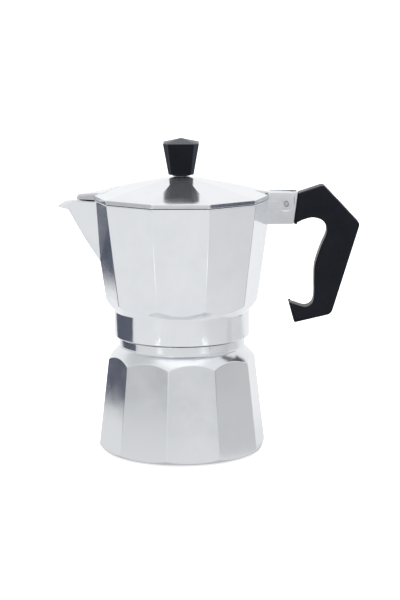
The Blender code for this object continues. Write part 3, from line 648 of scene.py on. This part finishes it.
def dress(piece, node, body, finish, inside=None):
    """Gives the piece its materials and lets it stand for a CAD node on its body.

    Faces for which inside(distance from Z, height, normal) holds are left as raw casting.
    """
    slot, look = finish
    mesh = piece.data
    mesh.materials.clear()
    mesh.materials.append(look.material)
    if inside:
        mesh.materials.append(RAW.material)
        for face in mesh.polygons:
            x, y, z = face.center / MM
            face.material_index = int(inside(math.hypot(x, y), z, face.normal))
    even = piece.modifiers.new("even_normals", "WEIGHTED_NORMAL")
    even.keep_sharp = True
    even.weight = 80
    piece.name = node + "_fine"
    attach(piece, body)
    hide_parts(node)
    return piece


# ---- boiler and its valve

def boiler_section(azimuth):
    """The boiler's wall, cut upright at an azimuth measured from one of its corners."""
    def facet(z):
        return side_r(BOILER_FOOT_R - BOILER_TAPER * z, azimuth)

    def foot(t):
        return FOOT_FLAT_R + FOOT_W * math.sin(t), FOOT_H - FOOT_H * math.cos(t)

    def past_facet(t):
        r, z = foot(t)
        return r - facet(z)

    def above_facet(t):
        r, z = on_bend(SHOULDER, t)
        return facet(z) - r

    def inner(z):
        return (BOILER_FOOT_R - BOILER_TAPER * z) * MITRE - BOILER_WALL

    low = crossing(past_facet, 0.0, math.pi / 2)
    high = crossing(above_facet, 0.0, 1.0)
    line = [(0, 0), (20.0, 0), (30.0, 0)]
    line += [foot(low * i / 6) for i in range(6)]
    line += [(*foot(low), 0.9)]
    z_low, z_high = foot(low)[1], on_bend(SHOULDER, high)[1]
    for share in (0.05, 0.2, 0.4, 0.6, 0.8, 0.95):
        z = z_low + share * (z_high - z_low)
        line.append((facet(z), z))
    line += [(*on_bend(SHOULDER, high), 0.8)]
    line += [on_bend(SHOULDER, high + (1 - high) * i / 9) for i in range(1, 9)]
    line += [(*SHOULDER[2], 0.6), (NECK_R, 54.9, 0.6), (NECK_R, NECK_TOP_Z, 0.45),
             (THREAD_ROOT_R, NECK_TOP_Z, 0.3), (THREAD_ROOT_R, RIM_Z, 0.5), (MOUTH_R, RIM_Z, 0.5),
             (MOUTH_R, NECK_TOP_Z - 0.8, 2.0), (31.2, 49.5, 3.0), (inner(43), 43.0, 3.0),
             (inner(10), 10.0, 3.0), (inner(10) - 1.2, 5.8, 1.0), (inner(10) - 3.8, 3.6, 1.0),
             (30.0, BOILER_WALL, 0.5), (15.0, BOILER_WALL), (0, BOILER_WALL)]
    return rounded(line, 4, cyclic=False)


def make_boiler():
    azimuths = side_azimuths(BOILER_TURN, 10)
    boiler = lofted("boiler", [boiler_section(a - BOILER_TURN) for a in azimuths], azimuths)
    thread = coil("boiler_thread", THREAD_ROOT_R + 0.15, THREAD_WIRE_R, NECK_TOP_Z + 1.4, RIM_Z - 1.2,
                  (RIM_Z - NECK_TOP_Z - 2.6) / THREAD_PITCH, 60, fade=True)
    drill = moved(cylinder("valve_hole", VALVE_STUB_R + FIT, -9.0, 5.0, 32), ALONG_VALVE)
    boiler = combined(boiler, [thread], [drill])

    def inside(r, z, normal):
        wall = (BOILER_FOOT_R - BOILER_TAPER * z) * MITRE - 1.5
        return 1 < z < 58 and r < min(wall, 34.9 - 0.36 * (z - 43.0))

    dress(boiler, "boiler", "boiler", SATIN, inside)


def make_valve():
    washer = turned("washer", [(6.2, 1.0, 0.15), (6.2, FIT, 0.15), (VALVE_STUB_R + FIT, FIT),
                               (VALVE_STUB_R + FIT, 1.0)], SMALL_STEPS, True)
    azimuths = [math.tau * i / 96 for i in range(96)]
    sections = []
    for azimuth in azimuths:
        flat = side_r(VALVE_HEX_R, azimuth, 0.4, 6)
        chamfer = max(0.0, flat - VALVE_HEX_R * 0.9) * 0.6
        sections.append(rounded([
            (VALVE_BORE_R, 6.5, 0.15), (4.0, 6.5, 0.3), (4.0, VALVE_HEX_HIGH, 0.1),
            (VALVE_HEX_R * 0.86, VALVE_HEX_HIGH, 0.1), (flat, VALVE_HEX_HIGH - chamfer, 0.12),
            (flat, VALVE_HEX_LOW + chamfer, 0.12), (VALVE_HEX_R * 0.86, VALVE_HEX_LOW, 0.1),
            (VALVE_STUB_R, VALVE_HEX_LOW, 0.1), (VALVE_STUB_R, -4.2, 0.4), (0.9, -4.2, 0.1),
            (0.9, PLUNGER_LOW - FIT, 0.1), (VALVE_BORE_R, PLUNGER_LOW - FIT, 0.1)], 3))
    body = lofted("valve", sections, azimuths, closed=True)
    cap_bore, cap_r = STEM_R + FIT, VALVE_BORE_R - FIT
    cap = turned("cap", [(cap_r, VALVE_CAP_HIGH, 0.12), (cap_r, VALVE_CAP_LOW, 0.1),
                         (cap_bore, VALVE_CAP_LOW, 0.1), (cap_bore, VALVE_CAP_HIGH, 0.12)], SMALL_STEPS, True)
    shoulder = PLUNGER_LOW + PLUNGER_T
    plunger = turned("plunger", [(0, 7.9), (STEM_R, 7.9, 0.25), (STEM_R, shoulder, 0.1),
                                 (PLUNGER_R, shoulder, 0.2), (PLUNGER_R, PLUNGER_LOW, 0.3),
                                 (0, PLUNGER_LOW)], SMALL_STEPS)
    spring = coil("spring", COIL_R, COIL_WIRE_R, shoulder + FIT + COIL_WIRE_R,
                  VALVE_CAP_LOW - FIT - COIL_WIRE_R, COIL_TURNS, 28)
    for piece, node, carrier, finish in (
            (washer, "valve_washer", "boiler", FIBRE),
            (body, "valve_body", "boiler", BRASS),
            (cap, "valve_cap", "boiler", BRASS),
            (plunger, "valve_plunger", "valve", BRASS),
            (spring, "valve_spring", "boiler", STEEL)):
        dress(moved(piece, ALONG_VALVE), node, carrier, finish)


# ---- funnel, gasket, filter plate

def make_funnel():
    top = FLANGE_Z + FLANGE_T
    inner = CUP_R - CUP_WALL
    neck = TUBE_R + FIT
    cone_low = TUBE_TOP_Z - 2.5
    cup = turned("cup", [(inner, top, 0.5), (FLANGE_R, top, 0.45), (FLANGE_R, FLANGE_Z, 0.35),
                         (CUP_R, FLANGE_Z, 0.3), (CUP_R, CUP_LOW_Z, 1.5), (neck + 0.9, cone_low, 1.0),
                         (neck + 0.9, cone_low - 4.0, 0.25), (neck, cone_low - 4.0, 0.2),
                         (neck, cone_low + 0.3, 0.5), (inner - 0.3, CUP_LOW_Z + 0.3, 0.2),
                         (inner, CUP_LOW_Z + 0.8, 0.2)], ROUND_STEPS, True)
    dress(cup, "funnel_cup", "funnel", PRESSED)
    tube = turned("tube", [(TUBE_BORE_R, cone_low + 0.2, 0.2), (TUBE_R, cone_low + 0.2, 0.2),
                           (TUBE_R, TUBE_LOW_Z, 0.3), (TUBE_BORE_R, TUBE_LOW_Z, 0.2)], SMALL_STEPS, True)
    dress(tube, "funnel_tube", "funnel", PRESSED)
    screen = sieve("screen", inner - FIT, inner - 3.0, CUP_LOW_Z + 1.1, CUP_LOW_Z + 1.8)
    dress(screen, "basket_screen", "funnel", PRESSED)


def make_seal():
    high = GASKET_Z + GASKET_T
    gasket = turned("seal", [(GASKET_OUT_R, high, 0.5), (GASKET_OUT_R, GASKET_Z, 0.5),
                             (GASKET_IN_R, GASKET_Z, 0.5), (GASKET_IN_R, high, 0.5)], ROUND_STEPS, True)
    dress(gasket, "gasket", "gasket", SILICONE)
    low = high + FIT
    screen = sieve("plate", PLATE_R, DOME_R - 2.0, low, low + PLATE_T)
    dress(screen, "filter_plate", "filter_plate", PRESSED)


# ---- collector and column

def joint_x(z):
    """Where the slanted joint between bracket and handle lies at a height."""
    share = (z - JOINT_LOW[1]) / (JOINT_HIGH[1] - JOINT_LOW[1])
    return JOINT_LOW[0] + share * (JOINT_HIGH[0] - JOINT_LOW[0])


def collector_section(azimuth):
    """The collector's wall, cut upright at an azimuth measured from one of its corners."""
    def facet(z):
        return side_r(BODY_TOP_R - BODY_TAPER * (BODY_TOP_Z - z), azimuth)

    def above_facet(t):
        r, z = on_bend(WAIST, t)
        return facet(z) - r

    def inner(r):
        return side_r(r, azimuth, 2.5)

    top_inner = BODY_TOP_R - BODY_WALL / MITRE
    low_inner = top_inner - BODY_TAPER * (BODY_TOP_Z - 82.0)
    turn = crossing(above_facet, 0.0, 1.0)
    z_low = on_bend(WAIST, turn)[1]
    line = [(COLUMN_HOLE_R, DOME_Z, 0.2), (COLUMN_HOLE_R, BOSS_Z, 0.25), (BOSS_R - 1.0, BOSS_Z, 0.4),
            (BOSS_R, BOSS_Z - 1.0, 0.4), (BOSS_R + 0.4, FLOOR_Z, 0.9), (20.0, FLOOR_Z),
            (inner(low_inner - 3.4), FLOOR_Z, 1.5), (inner(low_inner - 1.0), 79.6, 1.0),
            (inner(low_inner), 82.0, 1.0), (inner(top_inner - BODY_TAPER * 25), BODY_TOP_Z - 25),
            (inner(top_inner), BODY_TOP_Z, 0.5), (facet(BODY_TOP_Z), BODY_TOP_Z, 0.5)]
    for share in (0.95, 0.8, 0.6, 0.4, 0.2, 0.06):
        z = z_low + share * (BODY_TOP_Z - z_low)
        line.append((facet(z), z))
    line += [(*on_bend(WAIST, turn), 0.7)]
    line += [on_bend(WAIST, turn + (1 - turn) * i / 8) for i in range(1, 8)]
    line += [(*WAIST[2], 0.3), (COLLAR_R, 64.0), (COLLAR_R, COLLAR_Z, 0.55),
             (COLLAR_BORE_R + 0.6, COLLAR_Z, 0.1), (COLLAR_BORE_R, COLLAR_Z + 0.6, 0.1),
             (COLLAR_BORE_R, SEAT_LOW_Z - 0.6, 0.2), (SEAT_R, SEAT_LOW_Z, 0.2), (SEAT_R, SEAT_Z, 0.2),
             (PLATE_RECESS_R, SEAT_Z, 0.2), (PLATE_RECESS_R, PLATE_RECESS_Z, 0.2),
             (DOME_R, PLATE_RECESS_Z, 0.5), (DOME_R - 4.0, DOME_Z, 1.0)]
    return rounded(line, 4)


def bracket_outline():
    """The block between the body and the handle."""
    high = EAR_TOP_Z - 0.1
    return rounded([(40.0, BLOCK_LOW_Z, 0), (joint_x(BLOCK_LOW_Z) - FIT, BLOCK_LOW_Z, 0.8),
                    (joint_x(high) - FIT, high, 0.8), (43.8, high, 1.5),
                    (43.8, BODY_TOP_Z, 0), (40.0, BODY_TOP_Z, 0)], 10)


def ear_outline():
    """The raised pad round the pin: a straight top towards the body and a round end."""
    pad = rounded([(43.6, EAR_LOW_Z, 0), (43.6, EAR_TOP_Z, 1.5), (PIN_X + EAR_R, EAR_TOP_Z, 5.0),
                   (PIN_X + EAR_R, PIN_Z, 0)], 12)
    return pad + arc((PIN_X, PIN_Z), (EAR_R, EAR_R), 0, -195, 48)[1:]


def slot_outline():
    """The room between the ears: the knuckle's pocket, open to the top and the back."""
    pocket = KNUCKLE_R + 0.5
    return arc((PIN_X, PIN_Z), (pocket, pocket), 155, 360, 40) + [
        (60.0, PIN_Z), (60.0, 140.0), (42.0, 140.0), (42.0, BODY_TOP_Z)]


def make_collector():
    azimuths = side_azimuths(0.0, 10)
    collector = lofted("collector", [collector_section(a) for a in azimuths], azimuths, closed=True)
    bracket = plate("bracket", bracket_outline(), BRACKET_HALF, 0.3, 3)
    ears = plate("bracket_ears", ear_outline(), EAR_HALF, 0.4, 3)
    spout = hull("spout", [(-38.0, 11.6, 128.75), (-57.2, 2.0, 128.45)] + [(x, 0.0, z) for x, z in KEEL], 0.5)
    lip = hull("spout_lip", [(-54.5, 3.0, 128.5), (-57.2, 2.4, 128.4), (-58.9, 2.3, 127.9),
                             (-61.4, 1.8, 126.5), (-62.84, 0.8, 125.3), (-59.9, 1.2, 124.75),
                             (-59.9, 0.0, 124.45), (-57.4, 1.6, 124.2), (-57.4, 0.0, 123.6),
                             (-54.5, 0.0, 122.8)], 0.22)
    spout = combined(spout, [lip])
    channel = hull("spout_channel", [(-36.0, 10.6, 133.0), (-55.2, 0.5, 133.0)]
                   + [(x + 2.6, 0.0, z + 0.9) for x, z in KEEL])
    trough = hull("lip_trough", [(-53.0, 1.6, 133.0), (-63.6, 1.0, 133.0), (-63.6, 0.0, 126.2),
                                 (-53.0, 0.0, 125.0)])
    thread = coil("collar_thread", COLLAR_BORE_R - 0.15, THREAD_WIRE_R, COLLAR_Z + 1.6, COLLAR_Z + 6.1,
                  1.5, 60, fade=True)
    slot = plate("hinge_slot", slot_outline(), TONGUE_HALF + FIT)
    pin_hole = moved(cylinder("pin_hole", PIN_R + FIT, -EAR_HALF - 2, EAR_HALF + 2, 40), ACROSS)
    screw_hole = moved(cylinder("bracket_screw_hole", SCREW_R + FIT, -6.9, 5.0, 40), ALONG_SCREW)
    collector = combined(collector, [bracket, ears, spout, thread],
                         [channel, trough, slot, pin_hole, screw_hole])

    def inside(r, z, normal):
        wall = (BODY_TOP_R - BODY_TAPER * (BODY_TOP_Z - z)) * MITRE - 1.6
        in_body = 76.5 < z < BODY_TOP_Z - 0.4 and r < wall
        return in_body or (COLLAR_Z + 0.1 < z < 76 and r < 33.2)

    dress(collector, "collector", "collector", POLISHED, inside)


def make_column():
    shoulder = BOSS_Z + FIT
    column = turned("tube", [(COLUMN_BORE_R, COLUMN_TOP_Z, 0.2), (COLUMN_R, COLUMN_TOP_Z, 0.2),
                             (4.4, shoulder + 3, 2.0), (5.4, shoulder + 1.2, 0.4), (5.4, shoulder, 0.2),
                             (COLUMN_HOLE_R - FIT, shoulder, 0.1), (COLUMN_HOLE_R - FIT, DOME_Z + 0.2, 0.2),
                             (COLUMN_BORE_R, DOME_Z + 0.2, 0.2)], SMALL_STEPS, True)
    dress(column, "column", "collector", PRESSED)
    inside, outside, high = COLUMN_R + FIT, COLUMN_CAP_R, COLUMN_CAP_HIGH_Z
    cap = turned("cap", [(0, high), (outside - 2.2, high, 1.5), (outside - 0.6, high - 1.0, 1.0),
                         (outside, high - 2.6, 1.0), (outside, COLUMN_CAP_LOW_Z, 0.3),
                         (inside + 0.5, COLUMN_CAP_LOW_Z, 0.15), (inside + 0.4, COLUMN_TOP_Z + 0.8, 0.5),
                         (inside - 0.6, high - 1.6, 0.5),
                         (0, high - 1.2)], SMALL_STEPS)
    windows = softened(box("windows", (-8.0, -1.6, COLUMN_TOP_Z + 0.6), (8.0, 1.6, COLUMN_TOP_Z + 3.4)), 0.5)
    dress(combined(cap, cut=[windows]), "column_cap", "collector", PRESSED)


# ---- lid, knob and hinge

def lid_z(radius):
    return LID_APEX_Z - LID_SLOPE * radius - LID_CURVE * radius * radius


def lid_section(azimuth):
    edge, under = BODY_TOP_R, BODY_TOP_R - 2.2
    rings = [edge * k / 12 for k in range(1, 12)]
    line = [(0, LID_CREST_Z)] + [(side_r(r, azimuth, 0.8), lid_z(r)) for r in rings]
    line += [(side_r(edge, azimuth, 0.6), lid_z(edge) + 0.02, 0.3),
             (side_r(edge, azimuth, 0.6), LID_LOW_Z, 0.2), (side_r(under, azimuth, 0.6), LID_LOW_Z, 0.3)]
    line += [(side_r(r, azimuth, 0.8), lid_z(r) - LID_SHEET) for r in reversed(rings)]
    line += [(0, LID_CREST_Z - LID_SHEET)]
    return rounded(line, 4, cyclic=False)


def make_lid():
    azimuths = side_azimuths(0.0, 6, 0.8)
    lid = lofted("lid", [lid_section(a) for a in azimuths], azimuths)
    knuckle = arc((PIN_X, PIN_Z), (KNUCKLE_R, KNUCKLE_R), 148, 443.7, 60)
    root = [(35.5, lid_z(35.5) - 0.1), (35.5, LID_LOW_Z + 0.2), (47.0, LID_LOW_Z)]
    tongue = plate("lid_tongue", root + knuckle, TONGUE_HALF, 0.25, 3)
    boss = hull("tongue_root", [(38.0, 7.0, LID_LOW_Z + 0.1), (43.0, 7.0, LID_LOW_Z + 0.1),
                                (38.0, 7.0, lid_z(41.0)), (43.0, 7.0, lid_z(45.6))], 0.2)
    beak = hull("lid_beak", [(-30.5, 0.0, 135.3), (-52.4, 0.0, 131.5), (-39.5, 6.1, 133.1),
                             (-42.0, 6.0, 132.3), (-51.8, 1.8, 130.7), (-52.9, 0.7, 130.6),
                             (-37.5, 6.2, 129.1), (-42.0, 6.2, 129.1), (-51.9, 1.8, 129.1),
                             (-53.1, 0.7, 129.3)], 0.25)
    notches = []
    for side in (-1, 1):
        near, far = sorted((side * TONGUE_HALF, side * 6.0))
        notches.append(box(f"ear_notch_{side}", (42.4, near, 127.0), (48.0, far, 136.0)))
    pin_hole = moved(cylinder("tongue_hole", PIN_R + 0.1, -TONGUE_HALF - 2, TONGUE_HALF + 2, 40), ACROSS)
    screw_hole = cylinder("knob_screw_hole", KNOB_SCREW_R + FIT, LID_APEX_Z - 6, LID_APEX_Z + 3, 40)
    landing = cylinder("washer_landing", 5.2, LID_APEX_Z - 6, LANDING_Z)
    lid = combined(lid, [tongue, boss, beak], [*notches, pin_hole, screw_hole, landing])

    def inside(r, z, normal):
        return normal.z < -0.5 and r < 43.0 and z > LID_LOW_Z + 0.1

    dress(lid, "lid", "lid", POLISHED, inside)


def knob_ring(half, face, z):
    """An upright square with cut corners: half its width, and half the width of a face."""
    corners = [(half, -face), (half, face)]
    turns = [Matrix.Rotation(math.radians(90 * turn), 2) for turn in range(4)]
    return [(*(turn @ Vector(corner)), z) for turn in turns for corner in corners]


def make_knob():
    points = knob_ring(KNOB_LOW_HALF, KNOB_LOW_FACE, KNOB_LOW_Z)
    points += knob_ring(KNOB_RIM_HALF, KNOB_RIM_FACE, KNOB_RIM_Z)
    bm = bmesh.new()
    for point in points + [(0.0, 0.0, KNOB_TOP_Z)]:
        bm.verts.new(Vector(point) * MM)
    bmesh.ops.convex_hull(bm, input=bm.verts)
    knob = softened(solidified("knob", bm), 0.4, 5)
    neck = turned("neck", [(0, KNOB_LOW_Z + 1.0), (KNOB_NECK_R, KNOB_LOW_Z + 1.0),
                           (KNOB_NECK_R, LID_CREST_Z + FIT, 0.2), (0, LID_CREST_Z + FIT)], SMALL_STEPS)
    bore = cylinder("knob_bore", KNOB_SCREW_R + FIT, LID_APEX_Z - 2, KNOB_LOW_Z + 9.0, 40)
    # The knob wears the black with painted sheen on its cut corners and top.
    dress(combined(knob, [neck], [bore]), "lid_knob", "lid", BLACK_WITH_PAINTED_SHEEN)

    high = LANDING_Z - FIT
    low = high - KNOB_WASHER_T
    washer = turned("washer", [(KNOB_NECK_R, high, 0.15), (KNOB_NECK_R, low, 0.15),
                               (KNOB_SCREW_R + FIT, low, 0.15), (KNOB_SCREW_R + FIT, high, 0.15)],
                    SMALL_STEPS, True)
    dress(washer, "knob_washer", "lid", STEEL)
    head = low - FIT
    screw = turned("screw", [(0, KNOB_LOW_Z + 8.0), (KNOB_SCREW_R, KNOB_LOW_Z + 8.0, 0.4),
                             (KNOB_SCREW_R, head, 0.1), (KNOB_SCREW_HEAD_R, head, 0.2),
                             (KNOB_SCREW_HEAD_R, head - 1.4, 0.6), (2.6, head - 2.2, 0.6), (0, head - 2.2)],
                   SMALL_STEPS)
    slot = box("slot", (-5.0, -0.45, head - 4.0), (5.0, 0.45, head - 1.2))
    dress(combined(screw, cut=[slot]), "knob_screw", "lid", STEEL)


def make_pin():
    end = EAR_HALF - 0.6
    pin = turned("pin", [(0, end), (PIN_R, end, 0.25), (PIN_R, -end, 0.25), (0, -end)], SMALL_STEPS)
    dress(moved(pin, ACROSS), "hinge_pin", "collector", STEEL)


# ---- handle

def handle_outline():
    outer = rounded([(*JOINT_LOW, 0.5), (*JOINT_HIGH, 0.9), (71.7, 136.4, 2.2), (90.3, 116.6, 2.6),
                     (76.1, 70.3, 4.0), (57.2, 65.9, 1.0), (54.3, 76.4, 0.6)], 12)
    arch = smooth_run([(57.0, 76.0), (58.3, 75.3), (62.9, 74.1), (66.2, 76.0), (67.2, 80.5), (67.15, 88.0),
                       (67.6, 96.0), (70.5, 105.1), (73.1, 111.2), (73.2, 115.2), (70.9, 118.5),
                       (66.3, 119.8), (61.6, 118.7), (59.5, 117.7), (58.0, 117.1)])
    return outer + arch


def make_handle():
    handle = plate("grip", handle_outline(), HANDLE_HALF, HANDLE_EDGE, 5)
    hole = cylinder("handle_screw_hole", SCREW_R + FIT, -3.0, COUNTERBORE_DEPTH + 1)
    wide_hole = cylinder("handle_counterbore", SCREW_HEAD_R + FIT, COUNTERBORE_DEPTH, 40.0)
    handle = combined(handle, cut=[moved(hole, ALONG_SCREW), moved(wide_hole, ALONG_SCREW)])
    dress(handle, "handle", "collector", BLACK)

    seat = COUNTERBORE_DEPTH + FIT
    top = seat + SCREW_WASHER_T
    washer = turned("washer", [(SCREW_HEAD_R, top, 0.12), (SCREW_HEAD_R, seat, 0.12),
                               (SCREW_R + FIT, seat, 0.1), (SCREW_R + FIT, top, 0.1)], SMALL_STEPS, True)
    dress(moved(washer, ALONG_SCREW), "handle_washer", "collector", STEEL)
    head = top + FIT
    screw = turned("screw", [(0, head + 2.0), (SCREW_HEAD_R - 1.3, head + 2.0, 0.5),
                             (SCREW_HEAD_R - 0.3, head + 1.3, 0.4), (SCREW_HEAD_R - 0.1, head, 0.1),
                             (SCREW_R, head, 0.1), (SCREW_R, -6.4, 0.4), (0, -6.4)], SMALL_STEPS)
    slot = box("slot", (-5.0, -0.4, head + 1.0), (5.0, 0.4, head + 4.0))
    screw = moved(combined(screw, cut=[slot]), ALONG_SCREW)
    dress(screw, "handle_screw", "collector", STEEL)


# ---- studio

ROOM_R = 10.0  # metres, as are the places in the studio's painted layers
# Painted dark reflections: the colour of the dark patches on the mirrored floor.
DARK_REFLECTION = (0.030, 0.040, 0.080)
STREAK_SLOPE = 0.78  # a painted highlight streak's run to the side for each metre towards the front


class Glow(Look):
    """An even light whose strength is built up from where the surface is."""

    def __init__(self, name):
        super().__init__(name, (1.0, 1.0, 1.0), 0.0, 1.0)
        self.tree.nodes.remove(self.shader)
        self.shader = self.node("ShaderNodeEmission")
        self.link(self.shader.outputs[0], self.tree.nodes["Material Output"].inputs["Surface"])
        self.material.cycles.emission_sampling = "NONE"
        self.x, self.y, self.z = self.split(self.place)
        length = self.node("ShaderNodeVectorMath", operation="LENGTH")
        self.link(self.place, length.inputs[0])
        self.reach = length.outputs["Value"]

    def step(self, source, off, on):
        """0 at off, 1 at on, and smooth between."""
        made = self.between(source, off, on)
        made.node.interpolation_type = "SMOOTHSTEP"
        return made

    def patch(self, *limits):
        """1 inside a box of (source, off, on, on, off) limits, with smooth edges."""
        steps = []
        for source, a, b, c, d in limits:
            steps += [self.step(source, a, b), self.step(source, d, c)]
        return self.product(*steps)

    def paint(self, base, layers):
        """Lays each (mask, brightness or colour) over the base, in order."""
        def rgb(value):
            return (*value, 1.0) if isinstance(value, tuple) else (value, value, value, 1.0)

        colour = None
        for mask, value in layers:
            mix = self.node("ShaderNodeMix", data_type="RGBA")
            if colour:
                self.link(colour, mix.inputs["A"])
            else:
                mix.inputs[6].default_value = rgb(base)
            mix.inputs[7].default_value = rgb(value)
            self.link(mask, mix.inputs["Factor"])
            colour = mix.outputs[2]
        self.link(colour, self.shader.inputs["Color"])


def only_mirrored(piece, look):
    """Leaves the piece to polished surfaces alone as a painted reflection: neither the camera nor the soft
    light meets it.
    """
    piece.data.materials.append(look.material)
    piece.visible_camera = piece.visible_diffuse = piece.visible_shadow = piece.visible_transmission = False


def level_sheet(name, size, z):
    bm = bmesh.new()
    bmesh.ops.create_grid(bm, x_segments=1, y_segments=1, size=size)
    sheet = solidified(name, bm)
    sheet.location.z = z
    return sheet


def make_floor():
    floor = level_sheet("studio_floor", 40.0, -0.0003)
    look = Look("floor_paper", (0.92, 0.92, 0.92), 0.0, 0.9)
    look.shader.inputs["Emission Color"].default_value = (1.0, 1.0, 1.0, 1.0)
    look.shader.inputs["Emission Strength"].default_value = 0.45
    fibres = look.noise(3.0, 4.0)
    look.mottled(fibres, (0.85, 0.95), (0.915, 0.915, 0.915), (0.93, 0.93, 0.93), (0.3, 0.7))
    floor.data.materials.append(look.material)
    floor.visible_glossy = False


def make_mirrored_floor():
    """A painted reflection of what polished metal sees below the horizon: a white table, and painted dark
    reflections, as of dark cards, beyond its edges.
    """
    floor = level_sheet("mirrored_floor", 12.0, -0.0002)
    glow = Glow("mirrored_floor")
    x, y = glow.x, glow.y
    slanted = glow.sum(x, glow.between(y, 0.0, 1.0, 0.0, 0.2))
    across = glow.sum(glow.size(x), glow.between(y, -1.0, 1.0, -STREAK_SLOPE, STREAK_SLOPE))
    streaks = glow.patch((across, -0.040, -0.016, 0.016, 0.040), (y, -0.5, -0.4, -0.12, -0.10))
    glow.paint(0.86, [
        (glow.step(x, 0.12, 0.30), 0.74),
        (glow.step(y, 0.02, 0.12), 0.96),
        (glow.step(y, -0.45, -0.70), 0.56),
        (glow.step(y, -0.95, -1.30), 0.82),
        (glow.product(glow.step(x, 0.35, 0.7), glow.step(y, 0.3, 0.1)), 0.54),
        (glow.product(glow.step(x, -0.42, -0.75), glow.step(y, 0.3, 0.1)), 0.50),
        (glow.patch((x, 0.04, 0.09, 3.0, 4.0), (y, -0.075, -0.055, -0.01, 0.015)), 0.65),
        (glow.patch((x, 0.20, 0.25, 3.0, 4.0), (y, 0.01, 0.04, 0.15, 0.24)), 0.72),
        # Painted highlights: two bright streaks that the facets' softened corners reflect as bright lines.
        (glow.product(streaks, glow.patch((glow.reach, 0.235, 0.25, 0.32, 0.345))), 1.06),
        (glow.product(streaks, glow.patch((glow.reach, 0.235, 0.25, 0.28, 0.30))), 2.0),
        # Painted dark reflections, as dark cards beside the table would give.
        (glow.patch((slanted, -1.0, -0.8, -0.18, -0.15), (y, -0.026, -0.008, 0.9, 1.1)), DARK_REFLECTION),
        (glow.patch((x, 0.65, 0.75, 1.6, 1.9), (y, -0.9, -0.7, -0.2, -0.13)), DARK_REFLECTION),
        # Painted shadow: the mirrored floor darker round the pot's foot, as a contact shadow would make it.
        (glow.step(glow.reach, 0.050, 0.040), 0.58),
    ])
    only_mirrored(floor, glow)


def make_mirrored_room():
    """A painted reflection of what polished metal sees above the horizon: a bright backdrop and overhead
    light, a dimmer front.
    """
    bm = bmesh.new()
    bmesh.ops.create_uvsphere(bm, u_segments=48, v_segments=24, radius=1.0)
    room = solidified("mirrored_room", bm)
    room.scale = (ROOM_R, ROOM_R, ROOM_R)
    glow = Glow("mirrored_room")
    x, y, z = glow.x, glow.y, glow.z
    glow.paint(0.82, [
        (glow.product(glow.step(x, -0.45, -0.65), glow.step(z, 0.3, 0.1)), 0.56),
        (glow.product(glow.step(x, 0.6, 0.8), glow.step(z, 0.3, 0.1)), 0.55),
        (glow.step(y, -0.1, 0.35), 1.06),
        (glow.step(z, 0.2, 0.6), 0.95),
        (glow.patch((x, -0.95, -0.8, -0.40, -0.25), (y, -0.2, 0.0, 0.9, 1.1), (z, 0.5, 0.62, 0.86, 0.93)),
         0.66),
        (glow.step(z, 0.88, 0.95), 1.32),
        (glow.product(glow.step(y, 0.55, 0.75), glow.step(z, 0.75, 0.6)), 1.02),
        # Painted highlight: a bright patch low at the front left, as a softbox there would give.
        (glow.patch((x, -0.48, -0.42, -0.28, -0.22), (y, -1.1, -1.05, -0.7, -0.6),
                    (z, -0.1, -0.06, 0.5, 0.7)), 1.6),
    ])
    only_mirrored(room, glow)


def soft_light(name, centre, size, power):
    """A lamp with its centre and its size in millimetres, turned to the middle of the pot."""
    light = bpy.data.lights.new(name, "AREA")
    light.shape = "RECTANGLE"
    light.size, light.size_y = size[0] * MM, size[1] * MM
    light.energy = power
    lamp = bpy.data.objects.new(name, light)
    bpy.context.scene.collection.objects.link(lamp)
    spot = Vector(centre) * MM
    lamp.location = spot
    lamp.rotation_euler = (Vector((0, 0, 70)) * MM - spot).to_track_quat("-Z", "Y").to_euler()
    lamp.visible_glossy = False


def make_studio():
    scene = bpy.context.scene
    make_floor()
    make_mirrored_floor()
    make_mirrored_room()
    world = bpy.data.worlds.new("studio")
    world.use_nodes = True
    world.node_tree.nodes["Background"].inputs["Color"].default_value = (1.0, 1.0, 1.0, 1.0)
    world.node_tree.nodes["Background"].inputs["Strength"].default_value = 1.1
    scene.world = world
    soft_light("top_light", (0, -100, 1500), (1400, 1400), 9.0)
    soft_light("left_light", (-1100, -700, 700), (700, 900), 5.0)
    soft_light("right_light", (1200, -500, 600), (500, 900), 4.0)
    scene.view_settings.view_transform = "Standard"
    scene.view_settings.look = "None"

    lens = bpy.data.cameras.new("camera")
    lens.lens = CAMERA_LENS
    lens.sensor_width = 36.0
    lens.sensor_fit = "AUTO"
    lens.clip_start, lens.clip_end = 0.01, 100.0
    camera = bpy.data.objects.new("camera", lens)
    scene.collection.objects.link(camera)
    camera.matrix_world = (Matrix.Translation(Vector(CAMERA_AT) * MM)
                           @ Matrix.Rotation(math.radians(90) - CAMERA_PITCH, 4, "X")
                           @ Matrix.Rotation(CAMERA_ROLL, 4, "Z"))
    scene.camera = camera


make_boiler()
make_valve()
make_funnel()
make_seal()
make_collector()
make_column()
make_lid()
make_knob()
make_pin()
make_handle()
make_studio()
